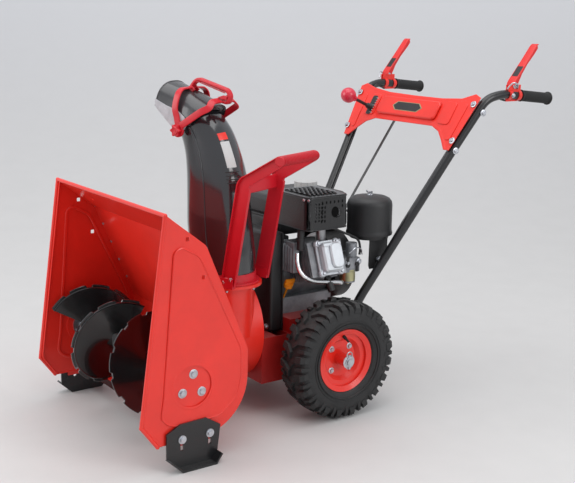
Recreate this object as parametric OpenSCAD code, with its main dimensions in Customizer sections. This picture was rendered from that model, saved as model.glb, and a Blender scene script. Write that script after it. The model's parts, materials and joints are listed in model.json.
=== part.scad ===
// Two-stage walk-behind snow blower with a 61 cm intake.
// X runs across the machine, with +X on the operator's left. The auger is towards -Y.
// Z is up and the ground is at z = 0. The origin lies on the ground under the middle of the machine.
// Inside each module, y is measured from the wheel axle; placed() moves a piece to its final place.

/* [Intake] */
// Width of the intake over its side plates
clearing_w = 620; // [520:10:740]
// Thickness of the intake's sheet steel
sheet = 2.5; // [1.5:0.5:4]
// Distance from the wheel axle to the auger axle
auger_reach = 501; // [490:1:560]
// Height of the auger axle
auger_z = 203; // [200:1:210]
// Outer radius of the auger flights
auger_r = 128; // [90:1:129]
// Turns of each flight between the gearbox and the side plate
auger_turns = 1.25; // [0.75:0.25:2]

/* [Impeller] */
// Outer radius of the impeller drum
drum_r = 150; // [135:1:155]
// Height of the impeller shaft above the auger axle
worm_offset = 35; // [32:1:40]
// Number of impeller blades
impeller_blades = 4; // [3:1:6]

/* [Chute] */
// Sideways place of the chute
chute_x = 90; // [60:1:96]
// Outer radius of the chute's round foot
chute_r = 66; // [55:1:70]
// Height of the ring that the chute turns on
chute_z = 388; // [385:1:395]
// Direction that the parked chute turns to, from straight ahead
chute_park = -69; // [-90:1:90]
// Half the width of the chute's top
chute_half_w = 56; // [48:1:60]

/* [Wheels] */
// Outer radius of the tyres
tyre_r = 165; // [150:1:180]
// Width of a tyre
tyre_w = 104; // [80:1:115]
// Radius of the rim flange
rim_r = 88; // [80:1:95]
// Distance from the middle of the machine to the middle of a tyre
track_half = 238; // [225:1:270]
// Radius of the wheel axle
axle_r = 9.5; // [8:0.5:12]

/* [Handlebar] */
// Outer radius of the handlebar tube
bar_r = 12.7; // [11:0.1:14]
// Half the distance between the grips
grip_half = 282; // [262:1:310]
// Distance from the wheel axle to the rear end of the grips
grip_reach = 741; // [700:1:860]
// Height of the grips
grip_z = 855; // [840:1:940]
// Length of a grip
grip_len = 118; // [90:1:130]
// Length of a clutch lever
lever_len = 143; // [120:1:190]

/* [Engine] */
// Height of the engine's mounting plate
deck_z = 262; // [255:1:270]
// Height of the crankshaft above the plate
crank_h = 106; // [95:1:115]
// Tilt of the cylinder above level
cyl_tilt = 20; // [10:1:25]

/* [Fits] */
// Radial clearance of a shaft in its bearing
run_fit = 0.05; // [0.02:0.01:0.1]
// Gap between pieces that move past each other
gap = 0.4; // [0.3:0.1:1]

/* [Hidden] */
$fn = 48;
tiny = 0.01;

lip_run = 645;
axle_y = -(grip_reach - lip_run) / 2;
half_w = clearing_w / 2;
plate_x = half_w - sheet;
auger_y = -auger_reach;
impeller_z = auger_z + worm_offset;
back_y = -343;
bowl_r = 135;
bowl_c = [back_y - bowl_r, auger_z];
front_top = [-570, 631];
rear_top = [-461, 546];
knee = [back_y, 272];
bottom_front = [-599, auger_z - bowl_r];
toe = [-641, 125];
drum_rear = -185;
drum_wall = 2.5;
crank_z = deck_z + crank_h;
chute_y = drum_rear - 72;
chassis_half = 140;
chassis_low = 92;
shaft_r = 9.5;
tube_r = 19;
flight_t = 4;
bolt_r = 4;
skid_travel = 25;
skid_bolt_z = 76;
skid_bolt_ys = [-536, -458];
axle_z = tyre_r;
disc_face = -84;
disc_r = 58;
disc_hub_r = 12;
friction_r = 30;
friction_x = 20;
hex_y = disc_face + friction_r + gap;
hex_z = axle_z + 15;
sprocket_small = 12;
sprocket_big = 36;
chain_x = -90;
pulley_y = -121;
drive_y = -104;
impeller_pulley_r = 84;
engine_pulley_r = 30;
disc_pulley_r = 38;
disc_z = hex_z;
belt_w = 10;
belt_t = 7;

// Handlebar: the same bends on both sides
bar_foot = [158, 118, 262];
bar_low = [160, 142, 300];
bar_dash = [235, 403, 709];
bar_bend = [266, 492, grip_z - 8];
bar_round = [272, 520, grip_z + 13];
bar_flat = [276, 556, grip_z + 15];
bar_end = [grip_half, grip_reach - 2, grip_z - 4];
lever_y = 592;
lever_z = grip_z + 38;
lever_rise = 52;
gear_x = -170;
gear_pivot = [gear_x, 492, 774];
dash_tilt = 31.8;

module placed() translate([0, axle_y, 0]) children();
// Draws a flat outline of (y, z) points and gives it a width along X
module across(x0, x1) translate([x0, 0, 0]) rotate([90, 0, 90]) linear_extrude(x1 - x0) children();
module x_rod(r, x0, x1) translate([x0, 0, 0]) rotate([0, 90, 0]) cylinder(r = r, h = x1 - x0);
module y_rod(r, y0, y1) translate([0, y1, 0]) rotate([90, 0, 0]) cylinder(r = r, h = y1 - y0);
// A round bar from point p to point q
module bar(p, q, r) {
    d = q - p;
    l = norm(d);
    translate(p) rotate([0, acos(d[2] / l), atan2(d[1], d[0])]) cylinder(r = r, h = l);
}
// Straight bars joined by a bead at each bend
bead = 0.5;
module bent_bar(points, r) {
    for (i = [0 : len(points) - 2]) bar(points[i], points[i + 1], r);
    for (i = [1 : len(points) - 2]) translate(points[i]) sphere(r = r + bead);
}
function unit(v) = v / norm(v);
// Turns faces over, so that their fronts point out
function turned(faces) = [for (f = faces) [f[2], f[1], f[0]]];
// A thin cable, rod or wire of eight flats, swept along its points
function sweep_ring(points, i, r) =
    let (m = len(points) - 1, d = unit(points[min(i + 1, m)] - points[max(i - 1, 0)]),
        u = unit(cross(d, [1, 0, 0.01])), v = cross(d, u))
    [for (k = [0 : 7]) points[i] + r * (cos(45 * k) * u + sin(45 * k) * v)];
module sweep(points, r) {
    m = len(points) - 1;
    polyhedron([for (i = [0 : m]) each sweep_ring(points, i, r)], turned(concat(
        [for (i = [0 : m - 1]) for (k = [0 : 7]) for (h = [0, 1])
            let (a = 8 * i + k, b = 8 * i + (k + 1) % 8)
            h == 0 ? [a, b, b + 8] : [a, b + 8, a + 8]],
        [for (k = [1 : 6]) [0, k + 1, k]], [for (k = [1 : 6]) [8 * m, 8 * m + k, 8 * m + k + 1]])));
}
// A flat strip of thickness t on the left of the line from p to q
module strip(p, q, t) {
    d = q - p;
    translate(p) rotate(atan2(d[1], d[0])) square([norm(d), t]);
}
module mirrored() {
    children();
    mirror([1, 0, 0]) children();
}
module hex_bolt(r, l) {
    cylinder(r = r, h = l);
    translate([0, 0, l - tiny]) cylinder(r = r * 1.75, h = r * 1.3, $fn = 6);
}

// ---------- Intake ----------
module intake_outline() {
    polygon([front_top, rear_top, knee, [back_y, auger_z], bowl_c, [bowl_c[0], bowl_c[1] - bowl_r],
        bottom_front, toe]);
    translate(bowl_c) circle(r = bowl_r, $fn = 96);
}

// Where the corner p, q, r of a sheet lies on its inner face
function right_of(p, q) = let (d = unit(q - p)) [d[1], -d[0]];
function inner_corner(p, q, r, t) = let (m = right_of(p, q), n = right_of(q, r)) q + t * (m + n) / (1 + m * n);
module wrapper_outline() difference() {
    intake_outline();
    polygon([front_top + sheet * right_of(front_top, rear_top) + 0.2 * (front_top - rear_top),
        inner_corner(front_top, rear_top, knee, sheet), inner_corner(rear_top, knee, [back_y, auger_z], sheet),
        [back_y - sheet, auger_z], bowl_c, [bowl_c[0], bottom_front[1] + sheet],
        [toe[0] - 20, bottom_front[1] + sheet]]);
    translate(bowl_c) circle(r = bowl_r - sheet, $fn = 96);
    translate(lerp(rear_top, front_top, 0.06)) rotate(-top_lean) square([seam, 6 * sheet], center = true);
    translate([toe[0] - 20, 0]) square([floor_front - toe[0] + 20, toe[1]]);
}

// Front edge of the floor: ahead of it the augers reach the snow from above
floor_front = -492;

// Gap of the seam between the top panel and the back
seam = 0.1;
// Two holes in the top panel for a deflector bar
top_hole_x = 200;
top_hole_r = 5;
top_hole = (front_top + rear_top) / 2;
top_lean = atan2(front_top[1] - rear_top[1], rear_top[0] - front_top[0]);
module auger_housing() placed() color("red") {
    difference() {
        across(-plate_x, plate_x) wrapper_outline();
        translate([0, 0, impeller_z]) y_rod(drum_r - drum_wall, -460, back_y + 20);
        for (s = [-1, 1]) translate([s * top_hole_x, top_hole[0], top_hole[1]]) rotate([-top_lean, 0, 0])
            cylinder(r = top_hole_r, h = 20, center = true);
    }
}

emboss = [[-548, 540], [-529, 552], [-480, 525], [-362, 275], [-362, 200], [-379, 147], [-427, 112],
    [-562, 112], [-588, 135], [-579, 185]];
emboss_h = 3;
hem_r = 5;
// Round dish in the embossed panel, round the bearing's bolts
dish_r = 54;
bearing_bolt_r = 31;
bearing_bolt_angles = [85, 205, 325];

module side_plate() {
    difference() {
        union() {
            across(plate_x, half_w) {
                intake_outline();
                translate([-560, 56]) square([125, 40]);
            }
            across(half_w - tiny, half_w + emboss_h) difference() {
                polygon(emboss);
                translate([auger_y, auger_z]) circle(r = dish_r);
            }
            for (p = [front_top, toe, bottom_front]) translate([half_w, p[0], p[1]]) sphere(r = hem_r + bead);
            for (p = [front_top, bottom_front])
                bar([half_w, toe[0], toe[1]], [half_w, p[0], p[1]], hem_r);
        }
        across(plate_x - tiny, half_w + emboss_h - sheet) difference() {
            polygon([for (p = emboss) p + 3 * [p[0] < -470 ? 1 : -1, p[1] < 300 ? 1 : -1]]);
            translate([auger_y, auger_z]) circle(r = dish_r + sheet);
        }
        for (a = bearing_bolt_angles)
            translate([0, auger_y + bearing_bolt_r * cos(a), auger_z + bearing_bolt_r * sin(a)])
                x_rod(bolt_r, plate_x - 10, half_w + 10);
        for (y = skid_bolt_ys) translate([0, y, skid_bolt_z]) x_rod(bolt_r, plate_x - 10, half_w + 10);
        for (p = [[-511, 569], [-470, 472]])
            translate([half_w - 15, p[0] - 5, p[1] - 5]) cube([30, 10, 10]);
    }
}
module side_plates() placed() color("red") {
    mirrored() side_plate();
}

module scraper_bar() placed() color("dimgray") across(gap - plate_x, plate_x - gap)
    translate([floor_front, bottom_front[1]])
        polygon([[-9, -12], [0, -5.1], [34, -5.1], [34, -0.1], [-3, -0.1], [-13, -10]]);

// Bolts that hold the auger bearings, the skid shoes and the impeller housing
module housing_bolts() placed() color("silver") {
    mirrored() {
        for (a = bearing_bolt_angles)
            translate([plate_x - bush_flange_t - 4, auger_y + bearing_bolt_r * cos(a),
                auger_z + bearing_bolt_r * sin(a)])
                rotate([0, 90, 0]) hex_bolt(bolt_r, bush_flange_t + 4 + sheet);
        for (y = skid_bolt_ys) translate([plate_x - 5, y, skid_bolt_z]) rotate([0, 90, 0]) {
            cylinder(r = bolt_r, h = skid_off + skid_t + gap + 8 + sheet);
            translate([0, 0, skid_off + skid_t + gap + 5 + sheet]) cylinder(r = 11, h = 2);
            translate([0, 0, skid_off + skid_t + gap + 7 + sheet]) cylinder(r = 7, h = 5, $fn = 6);
        }
    }
}

// Flanged bush inside each side plate
bush_l = 11;
bush_flange_t = 4;
module flange_bush() translate([plate_x, auger_y, auger_z]) difference() {
    union() {
        x_rod(tube_r - gap, -bush_l, -tiny);
        x_rod(bearing_bolt_r + 2 * bolt_r, -bush_flange_t, -tiny);
    }
    x_rod(shaft_r + run_fit, -2 * bush_l, bush_l);
    for (a = bearing_bolt_angles) rotate([a, 0, 0]) translate([0, bearing_bolt_r, 0])
        x_rod(bolt_r, -bush_l, bush_l);
}
module bearings() placed() color("gray") {
    mirrored() flange_bush();
    translate([0, 0, impeller_z]) difference() {
        y_rod(15.5, drum_rear + tiny, drum_rear + 12);
        y_rod(shaft_r + run_fit, drum_rear - 1, drum_rear + 13);
    }
    mirrored() translate([0, 0, axle_z]) difference() {
        x_rod(24, chassis_half + tiny, chassis_half + 10);
        x_rod(axle_r + run_fit, chassis_half - 1, chassis_half + 11);
    }
}

// ---------- Auger ----------
case_half = 34;
module gearbox_case() placed() color("black") translate([0, auger_y, auger_z]) difference() {
    union() {
        x_rod(44, -case_half + 8, case_half - 8);
        x_rod(27, -case_half, case_half);
        translate([0, 0, worm_offset]) y_rod(24, -52, 52);
        translate([-26, -36, 0]) cube([52, 72, worm_offset]);
        for (a = [0 : 60 : 300]) rotate([a, 0, 0]) translate([0, 46, 0]) x_rod(5, -8, 8);
    }
    x_rod(34, -case_half + 11, case_half - 11);
    x_rod(shaft_r + run_fit, -60, 60);
    translate([0, 0, worm_offset]) {
        y_rod(16, -45, 45);
        y_rod(shaft_r + run_fit, 0, 60);
    }
}

// Bent rod that keeps the gearbox from turning, with its nut in front of the impeller
brace_x = 46;
brace_z = impeller_z + 62;
module gearbox_brace() placed() color("dimgray") {
    bent_bar([[20, auger_y, impeller_z + 18], [brace_x, auger_y, brace_z], [brace_x, -420, brace_z],
        [brace_x, -420, 392], [brace_x, -396.5, 392]], 5);
}

module auger_shaft() placed() color("dimgray") translate([0, auger_y, auger_z])
    x_rod(shaft_r, gap - plate_x, plate_x - gap);

wheel_teeth = 22;
worm_tip = 11;
wheel_tip = worm_offset - worm_tip - gap;
module worm_wheel() placed() color("goldenrod") translate([0, auger_y, auger_z]) difference() {
    x_rod(wheel_tip, -9, 9);
    x_rod(shaft_r, -20, 20);
    for (i = [0 : wheel_teeth - 1]) rotate([i * 360 / wheel_teeth, 0, 0])
        translate([-10, wheel_tip - 2.5, -0.8]) cube([20, 5, 1.6]);
}

// One screw flight as a thin helical ribbon with a notched rim, welded to its tube
flight_steps = 16;
flight_in = tube_r - 1;
function flight_rim(i) = auger_r - (i % 2 == 0 ? 0 : 7);
function flight_ring(i, n, x0, x1, hand) =
    let (f = i / n, a = hand * 360 * auger_turns * f + 60, x = x0 + (x1 - x0) * f, r = flight_rim(i))
    [[x - flight_t / 2, flight_in * cos(a), flight_in * sin(a)], [x + flight_t / 2, flight_in * cos(a),
        flight_in * sin(a)], [x + flight_t / 2, r * cos(a), r * sin(a)],
        [x - flight_t / 2, r * cos(a), r * sin(a)]];
module ribbon(x0, x1, hand) {
    n = round(flight_steps * auger_turns * 1.5);
    points = [for (i = [0 : n]) each flight_ring(i, n, x0, x1, hand)];
    sides = [for (i = [0 : n - 1]) for (k = [0 : 3]) for (h = [0, 1])
        let (a = 4 * i + k, b = 4 * i + (k + 1) % 4)
        h == 0 ? [a, b, b + 4] : [a, b + 4, a + 4]];
    ends = [[3, 2, 1], [3, 1, 0], [4 * n, 4 * n + 1, 4 * n + 2], [4 * n, 4 * n + 2, 4 * n + 3]];
    polyhedron(points, turned(concat(sides, ends)));
}
flight_x0 = case_half + 22;
shear_x = case_half + 14;
flight_x1 = plate_x - 18;
module auger_half(hand) difference() {
    union() {
        x_rod(tube_r, case_half + 4, plate_x - 12);
        ribbon(flight_x0, flight_x1, hand);
    }
    x_rod(shaft_r, 0, half_w);
    translate([shear_x, 0, 0]) cylinder(r = 3, h = 60, center = true);
}
module auger_flights() placed() color("black") translate([0, auger_y, auger_z]) {
    auger_half(1);
    mirror([1, 0, 0]) auger_half(1);
}

module shear_bolts() placed() color("silver") translate([0, auger_y, auger_z])
    mirrored() translate([shear_x, 0, 0]) {
        translate([0, 0, tube_r]) cylinder(r = 5.5, h = 4, $fn = 6);
        translate([0, 0, -tube_r - 4]) cylinder(r = 5.5, h = 4, $fn = 6);
        for (s = [-1, 1]) translate([0, 0, s * (tube_r + shaft_r) / 2])
            cylinder(r = 3, h = tube_r - shaft_r, center = true);
    }

// ---------- Impeller ----------
module impeller_shaft() placed() color("dimgray") translate([0, 0, impeller_z]) {
    y_rod(shaft_r, auger_y + 20, pulley_y + 9);
    difference() {
        y_rod(worm_tip, auger_y - 22, auger_y + 22);
        for (i = [-3 : 3]) translate([0, auger_y + i * 6, 0]) difference() {
            y_rod(worm_tip + 1, -1, 1);
            y_rod(worm_tip - 2.5, -1, 1);
        }
    }
    y_rod(6, auger_y - 40, auger_y - 22 + tiny);
}

blade_l = drum_r - drum_wall - 6;
module impeller() placed() color("black") translate([0, 0, impeller_z]) {
    difference() {
        union() {
            y_rod(24, -318, -212);
            for (i = [0 : impeller_blades - 1]) rotate([0, 45 + i * 360 / impeller_blades, 0]) {
                translate([20, -314, -2]) cube([blade_l - 20, 100, 4]);
                translate([blade_l - 20, -314, -2]) cube([4, 100, 16]);
            }
            y_rod(blade_l - 22, -214, -210);
        }
        y_rod(shaft_r, -330, -200);
    }
}

module impeller_pulley() placed() color("dimgray") translate([0, pulley_y, impeller_z]) difference() {
    union() {
        for (s = [-1, 1]) translate([0, s * (belt_w / 2 + 1.9), 0]) y_rod(impeller_pulley_r, -1.4, 1.4);
        y_rod(impeller_pulley_r - belt_t - gap, -belt_w / 2 - 1, belt_w / 2 + 1);
        y_rod(22, -9, 7);
    }
    y_rod(shaft_r, -30, 30);
    for (a = [0 : 72 : 288]) rotate([0, a, 0]) translate([48, 0, 0]) y_rod(14, -10, 10);
}

module impeller_housing() placed() color("red") {
    difference() {
        union() {
            translate([0, 0, impeller_z]) y_rod(drum_r, -420, drum_rear);
            translate([chute_x, chute_y, impeller_z]) cylinder(r = chute_r, h = chute_z - impeller_z - 4);
            translate([chute_x, chute_y, chute_z - 8]) cylinder(r = chute_r + 20, h = 8);
        }
        across(-half_w, half_w) intake_outline();
        translate([0, 0, impeller_z]) {
            y_rod(drum_r - drum_wall, -430, drum_rear - drum_wall);
            y_rod(26, drum_rear - 10, drum_rear + 1);
        }
        translate([chute_x, chute_y, impeller_z]) cylinder(r = chute_r - drum_wall, h = chute_z);
        for (a = [30 : 60 : 330]) translate([chute_x, chute_y, chute_z - 20]) rotate(a)
            translate([chute_r + 11, 0, 0]) cylinder(r = 3, h = 30);
    }
    translate([0, 0, impeller_z]) difference() {
        y_rod(30, drum_rear - drum_wall, drum_rear);
        y_rod(shaft_r + 1, drum_rear - 10, drum_rear + 1);
    }
}

// ---------- Chute, in its own frame: it faces -Y and stands on the origin ----------
module chute_place() placed() translate([chute_x, chute_y, 0]) rotate(chute_park) children();

collar_h = 27;
collar_low = chute_z + gap;
collar_out = chute_r + 14;
module chute_ring() chute_place() color("crimson") difference() {
    union() {
        translate([0, 0, collar_low]) cylinder(r = collar_out, h = 5);
        translate([0, 0, collar_low]) cylinder(r = chute_r + 4, h = collar_h);
        mirrored() translate([collar_out - 10, 20, collar_low]) cube([13, 50, collar_h]);
    }
    translate([0, 0, collar_low - 1]) cylinder(r = chute_r, h = collar_h + 2);
}

// Each station: height and depth of the front edge, then of the back edge, and the half width
wall = 3;
chute_stations = [
    [chute_z + gap, -chute_r, chute_z + gap, chute_r, chute_r],
    [430, -chute_r - 6, 440, chute_r, chute_r],
    [470, -112, 480, 64, 66],
    [530, -124, 530, 58, 66],
    [600, -125, 600, 50, 64],
    [670, -126, 672, 38, 61],
    [718, -130, 740, 15, 58],
    [752, -138, 796, -14, chute_half_w],
    [776, -146, 842, -58, chute_half_w]];
function squareness(i) = i < 2 ? 1 : 0.8;
function soft(v, e) = sign(v) * pow(abs(v), e);
function station_ring(s, t, e, n) = [for (k = [0 : n - 1])
    let (a = 360 * k / n, c = soft(cos(a), e), m = (1 + soft(sin(a), e)) / 2, w = s[4] - t,
        d = norm([s[3] - s[1], s[2] - s[0]]), g = t / d)
    [w * c, s[1] + (s[3] - s[1]) * (g + m * (1 - 2 * g)), s[0] + (s[2] - s[0]) * (g + m * (1 - 2 * g))]];
// A closed skin over a list of rings, joined end to end
module skin(rings) {
    n = len(rings[0]);
    m = len(rings);
    polyhedron([for (r = rings) each r], [for (i = [0 : m - 1]) for (k = [0 : n - 1]) for (h = [0, 1])
        let (a = i * n + k, b = i * n + (k + 1) % n, c = ((i + 1) % m) * n + (k + 1) % n,
            d = ((i + 1) % m) * n + k)
        h == 0 ? [a, c, b] : [a, d, c]]);
}
module chute() chute_place() color("black") {
    n = 32;
    last = len(chute_stations) - 1;
    skin(concat(
        [for (i = [0 : last]) station_ring(chute_stations[i], 0, squareness(i), n)],
        [for (i = [last : -1 : 0]) station_ring(chute_stations[i], wall, squareness(i), n)]));
}

// Forked handle: two bent arms from the ring, a bridge and a ribbed grip
arm_pts = [[54, chute_z + 20], [103, 672], [213, 735]];
arm_w = 30;
arm_in = chute_r + 5;
module arm_outline() {
    for (i = [0, 1]) hull() {
        translate(arm_pts[i]) circle(d = arm_w);
        translate(arm_pts[i + 1]) circle(d = i == 0 ? arm_w : arm_w - 4);
    }
}
module chute_handle() chute_place() color("crimson") {
    mirrored() across(arm_in, arm_in + 6) arm_outline();
    translate([-arm_in - 1, arm_pts[1][0] - 10, arm_pts[1][1] - 34]) cube([2 * arm_in + 2, 6, 34]);
    translate([0, arm_pts[2][0], arm_pts[2][1]]) x_rod(13, -arm_in - 6, arm_in + 6);
}

// Deflector: a curved hood on the chute's end, tilting on the line through both knobs
pivot = [-118, 787];
hood_half = chute_half_w + 8;
module arch(stations, t, n) {
    m = len(stations) - 1;
    w = 2 * (n + 1);
    polyhedron([for (s = stations) each
        concat(arch_ring(s, 0, n), [for (k = [n : -1 : 0]) arch_ring(s, t, n)[k]])],
        turned(concat([for (i = [0 : m - 1]) for (k = [0 : w - 1]) for (h = [0, 1])
            let (a = i * w + k, b = i * w + (k + 1) % w)
            h == 0 ? [a, b, b + w] : [a, b + w, a + w]],
        [for (e = [0, m]) for (k = [0 : n - 1]) for (h = [0, 1])
            let (a = e * w + k, b = a + 1, c = e * w + w - 2 - k, d = c + 1,
                f = h == 0 ? [a, c, b] : [a, d, c])
            e == 0 ? f : [f[2], f[1], f[0]]])));
}
module deflector() chute_place() color("dimgray") {
    arch(hood_shape, 2.5, 24);
    for (s = [-1, 1]) translate([s * hood_half, 0, 0]) across(-1.25, 1.25) difference() {
        hull() {
            translate(pivot) circle(r = 14, $fn = 32);
            translate([-150, 812]) circle(r = 10, $fn = 32);
            translate([-96, 812]) circle(r = 10, $fn = 32);
        }
        translate(pivot) circle(r = bolt_r + 1, $fn = 32);
    }
}
// Each arch: depth and height of its foot, depth and height of its crown
hood_shape = [
    [-84, 800, -40, 853],
    [-100, 806, -84, 872],
    [-146, 806, -134, 892],
    [-198, 846, -186, 909]];
// Ring of an open arch, out along the outside and back along the inside
function arch_ring(s, t, n) = [for (k = [0 : n])
    let (a = 180 * k / n, w = hood_half + 1.25 - t, c = soft(cos(a), 0.8), m = soft(sin(a), 0.8))
    [w * c, s[0] + (s[2] - s[0]) * m, s[1] + (s[3] - t - s[1]) * m]];

frame_in = hood_half + 2;
frame_r = 6;
arch_x = frame_in - 20;
module frame_arch(foot, crown) bent_bar([[-frame_in - 3.5, foot[0], foot[1]], [-arch_x, crown[0], crown[1]],
    [arch_x, crown[0], crown[1]], [frame_in + 3.5, foot[0], foot[1]]], frame_r);
module deflector_frame() chute_place() color("crimson") {
    mirrored() difference() {
        union() {
            translate([frame_in, 0, 0]) across(0, 7) {
                strip(pivot + [-8, 0], [-136, 862], 14);
                strip([-34, 836], pivot + [0, -8], 14);
            }
            translate([0, pivot[0], pivot[1]]) x_rod(17, frame_in, frame_in + 7);
        }
        translate([0, pivot[0], pivot[1]]) x_rod(bolt_r + run_fit, frame_in - 1, frame_in + 8);
    }
    frame_arch([-129, 858], [-134, 898]);
    frame_arch([-38, 834], [-26, 872]);
    bent_bar([[0, -134, 898], [0, -112, 920], [0, -8, 896], [0, -26, 872]], 7);
}

knob_x = frame_in + 7 + gap;
module deflector_knob() {
    translate([0, pivot[0], pivot[1]]) {
        x_rod(13, knob_x, knob_x + 10);
        for (a = [0 : 60 : 300]) rotate([a, 0, 0]) translate([0, 12, 0]) x_rod(5.5, knob_x, knob_x + 9);
        x_rod(bolt_r, chute_half_w + gap, knob_x + tiny);
    }
}
module deflector_knob_left() chute_place() color("crimson") deflector_knob();
module deflector_knob_right() chute_place() color("crimson") mirror([1, 0, 0]) deflector_knob();

// ---------- Skid shoes ----------
skid_t = 5;
skid_off = emboss_h + 2 * gap;
sole_w = 30;
module skid_shoe() difference() {
    translate([half_w + skid_off, 0, 0]) {
        across(0, skid_t) polygon([[-578, 96], [-540, 115], [-467, 117], [-427, 92], [-436, 26],
            [-452, 0], [-547, 0], [-578, 33]]);
        across(0, sole_w) polygon([[-547, 0], [-452, 0], [-434, 24], [-438, 27], [-454, 5], [-545, 5],
            [-576, 34], [-580, 31]]);
    }
    for (y = skid_bolt_ys) translate([0, y, skid_bolt_z]) across(half_w - 5, half_w + 30) {
        translate([-bolt_r - 0.5, -skid_travel]) square([2 * bolt_r + 1, skid_travel]);
        circle(r = bolt_r + 0.5);
        translate([0, -skid_travel]) circle(r = bolt_r + 0.5);
    }
}
module skid_shoe_left() placed() color("black") skid_shoe();
module skid_shoe_right() placed() color("black") mirror([1, 0, 0]) skid_shoe();

// ---------- Chassis and drive ----------
cover_y = [-134, -92.4];
cover_low = 222;
cover_high = 500;
cover_half = 104;
chassis_back = 150;
module chassis_side() polygon([[drum_rear + tiny, chassis_low], [drum_rear + tiny, cover_low],
    [cover_y[1] + gap, cover_low], [cover_y[1] + gap, deck_z], [chassis_back, deck_z],
    [chassis_back, 130], [90, chassis_low]]);
// Wall inside the chassis, between the disc and its pulley, that carries the disc's hub
bulkhead = [disc_face - 10, disc_face - 6];
module chassis_box() placed() color("darkred") difference() {
    across(-chassis_half, chassis_half) chassis_side();
    across(sheet - chassis_half, chassis_half - sheet) {
        polygon([[drum_rear + sheet, chassis_low + sheet], [drum_rear + sheet, cover_low - sheet],
            [cover_y[0] - gap, cover_low - sheet], [cover_y[0] - gap, cover_low + 1],
            [bulkhead[0], cover_low + 1], [bulkhead[0], chassis_low + sheet]]);
        polygon([[bulkhead[1], chassis_low + sheet], [bulkhead[1], deck_z - 4],
            [chassis_back - sheet, deck_z - 4], [chassis_back - sheet, 131], [89, chassis_low + sheet]]);
    }
    translate([0, 0, axle_z]) x_rod(axle_r + 2, -200, 200);
    translate([0, 0, disc_z]) y_rod(disc_hub_r + run_fit, bulkhead[0] - 1, bulkhead[1] + 1);
    translate(lerp(rod_low, rod_top, (deck_z - 10 - rod_low[2]) / (rod_top[2] - rod_low[2])))
        cylinder(r = 14, h = 20);
}

module belt_cover() placed() color("black") difference() {
    translate([-cover_half, cover_y[0], cover_low + tiny])
        cube([2 * cover_half, cover_y[1] - cover_y[0], cover_high - cover_low]);
    translate([3 - cover_half, cover_y[0] + 2.6, cover_low - 20])
        cube([2 * cover_half - 6, cover_y[1] - cover_y[0] - 5.2, cover_high - cover_low + 17]);
    translate([0, 0, crank_z]) y_rod(22, -110, -80);
    translate([0, 0, impeller_z]) y_rod(27, -150, -125);
}

lynch_x = track_half + 53.5;
lynch_r = 3;
module axle() placed() color("silver") translate([0, 0, axle_z]) {
    difference() {
        x_rod(axle_r, -track_half - 60, track_half + 60);
        mirrored() translate([lynch_x, 0, 0]) cylinder(r = lynch_r + run_fit, h = 60, center = true);
    }
    translate([chain_x, 0, 0]) difference() {
        union() {
            x_rod(sprocket_big, -2, 2);
            x_rod(20, -2, 14);
        }
        x_rod(axle_r - tiny, -5, 20);
    }
}

rim_w = tyre_w * 0.66;
hub_r = 17;
module rim_side() translate([track_half, 0, axle_z]) rotate([0, 90, 0]) rotate_extrude($fn = 72) {
    polygon([[axle_r, -45], [hub_r, -45], [hub_r, 2], [34, 10], [52, 10], [62, 22], [rim_r - 10, 24],
        [rim_r - 10, rim_w / 2 - 2], [rim_r, rim_w / 2 + 2], [rim_r, rim_w / 2 + 6],
        [rim_r - 14, rim_w / 2], [rim_r - 14, 27], [60, 25], [50, 13], [33, 13], [hub_r, 9],
        [hub_r, 50], [axle_r, 50]]);
    polygon([[rim_r - 14, 27], [rim_r - 10, 24], [rim_r - 10, -rim_w / 2 + 2], [rim_r, -rim_w / 2 - 2],
        [rim_r, -rim_w / 2 - 6], [rim_r - 14, -rim_w / 2]]);
}
module rims() placed() color("red") mirrored() rim_side();

module tyre() translate([track_half, 0, axle_z]) rotate([0, 90, 0]) rotate_extrude($fn = 72) difference() {
    polygon([for (a = [-90 : 15 : 90]) let (c = (tyre_r + rim_r - 10) / 2)
        [c + soft(sin(a), 0.7) * (tyre_r - c), tyre_w / 2 * soft(cos(a), 0.7)],
        for (a = [90 : 15 : 255]) let (c = (tyre_r + rim_r - 10) / 2)
        [c + soft(sin(a), 0.7) * (tyre_r - c), tyre_w / 2 * soft(cos(a), 0.7)]]);
    translate([0, -tyre_w]) square([rim_r + gap, 2 * tyre_w]);
    translate([rim_r, -rim_w / 2 + 4]) square([tyre_r - rim_r - 16, rim_w - 8]);
}
module tyres() placed() color("black") mirrored() tyre();

module lynch_pins() placed() color("silver") mirrored()
    translate([lynch_x, 0, axle_z]) {
        cylinder(r = lynch_r, h = 2 * axle_r + 22, center = true);
        translate([0, 0, axle_r + 10]) rotate([0, 90, 0]) rotate_extrude() translate([9, 0]) circle(r = 1.6);
    }

// The outer edge of a belt or chain round two wheels of radius ra at the origin and rb at p
module loop_outline(ra, rb, p) hull() {
    circle(r = ra);
    translate(p) circle(r = rb);
}
module loop_band(ra, rb, p, t) difference() {
    loop_outline(ra, rb, p);
    loop_outline(ra - t, rb - t, p);
}
chain_t = 7;
module drive_chain() placed() color("dimgray") translate([chain_x, 0, axle_z]) across(-4, 4)
    loop_band(sprocket_big + chain_t + gap, sprocket_small + chain_t + gap, [hex_y, hex_z - axle_z], chain_t);

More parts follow.
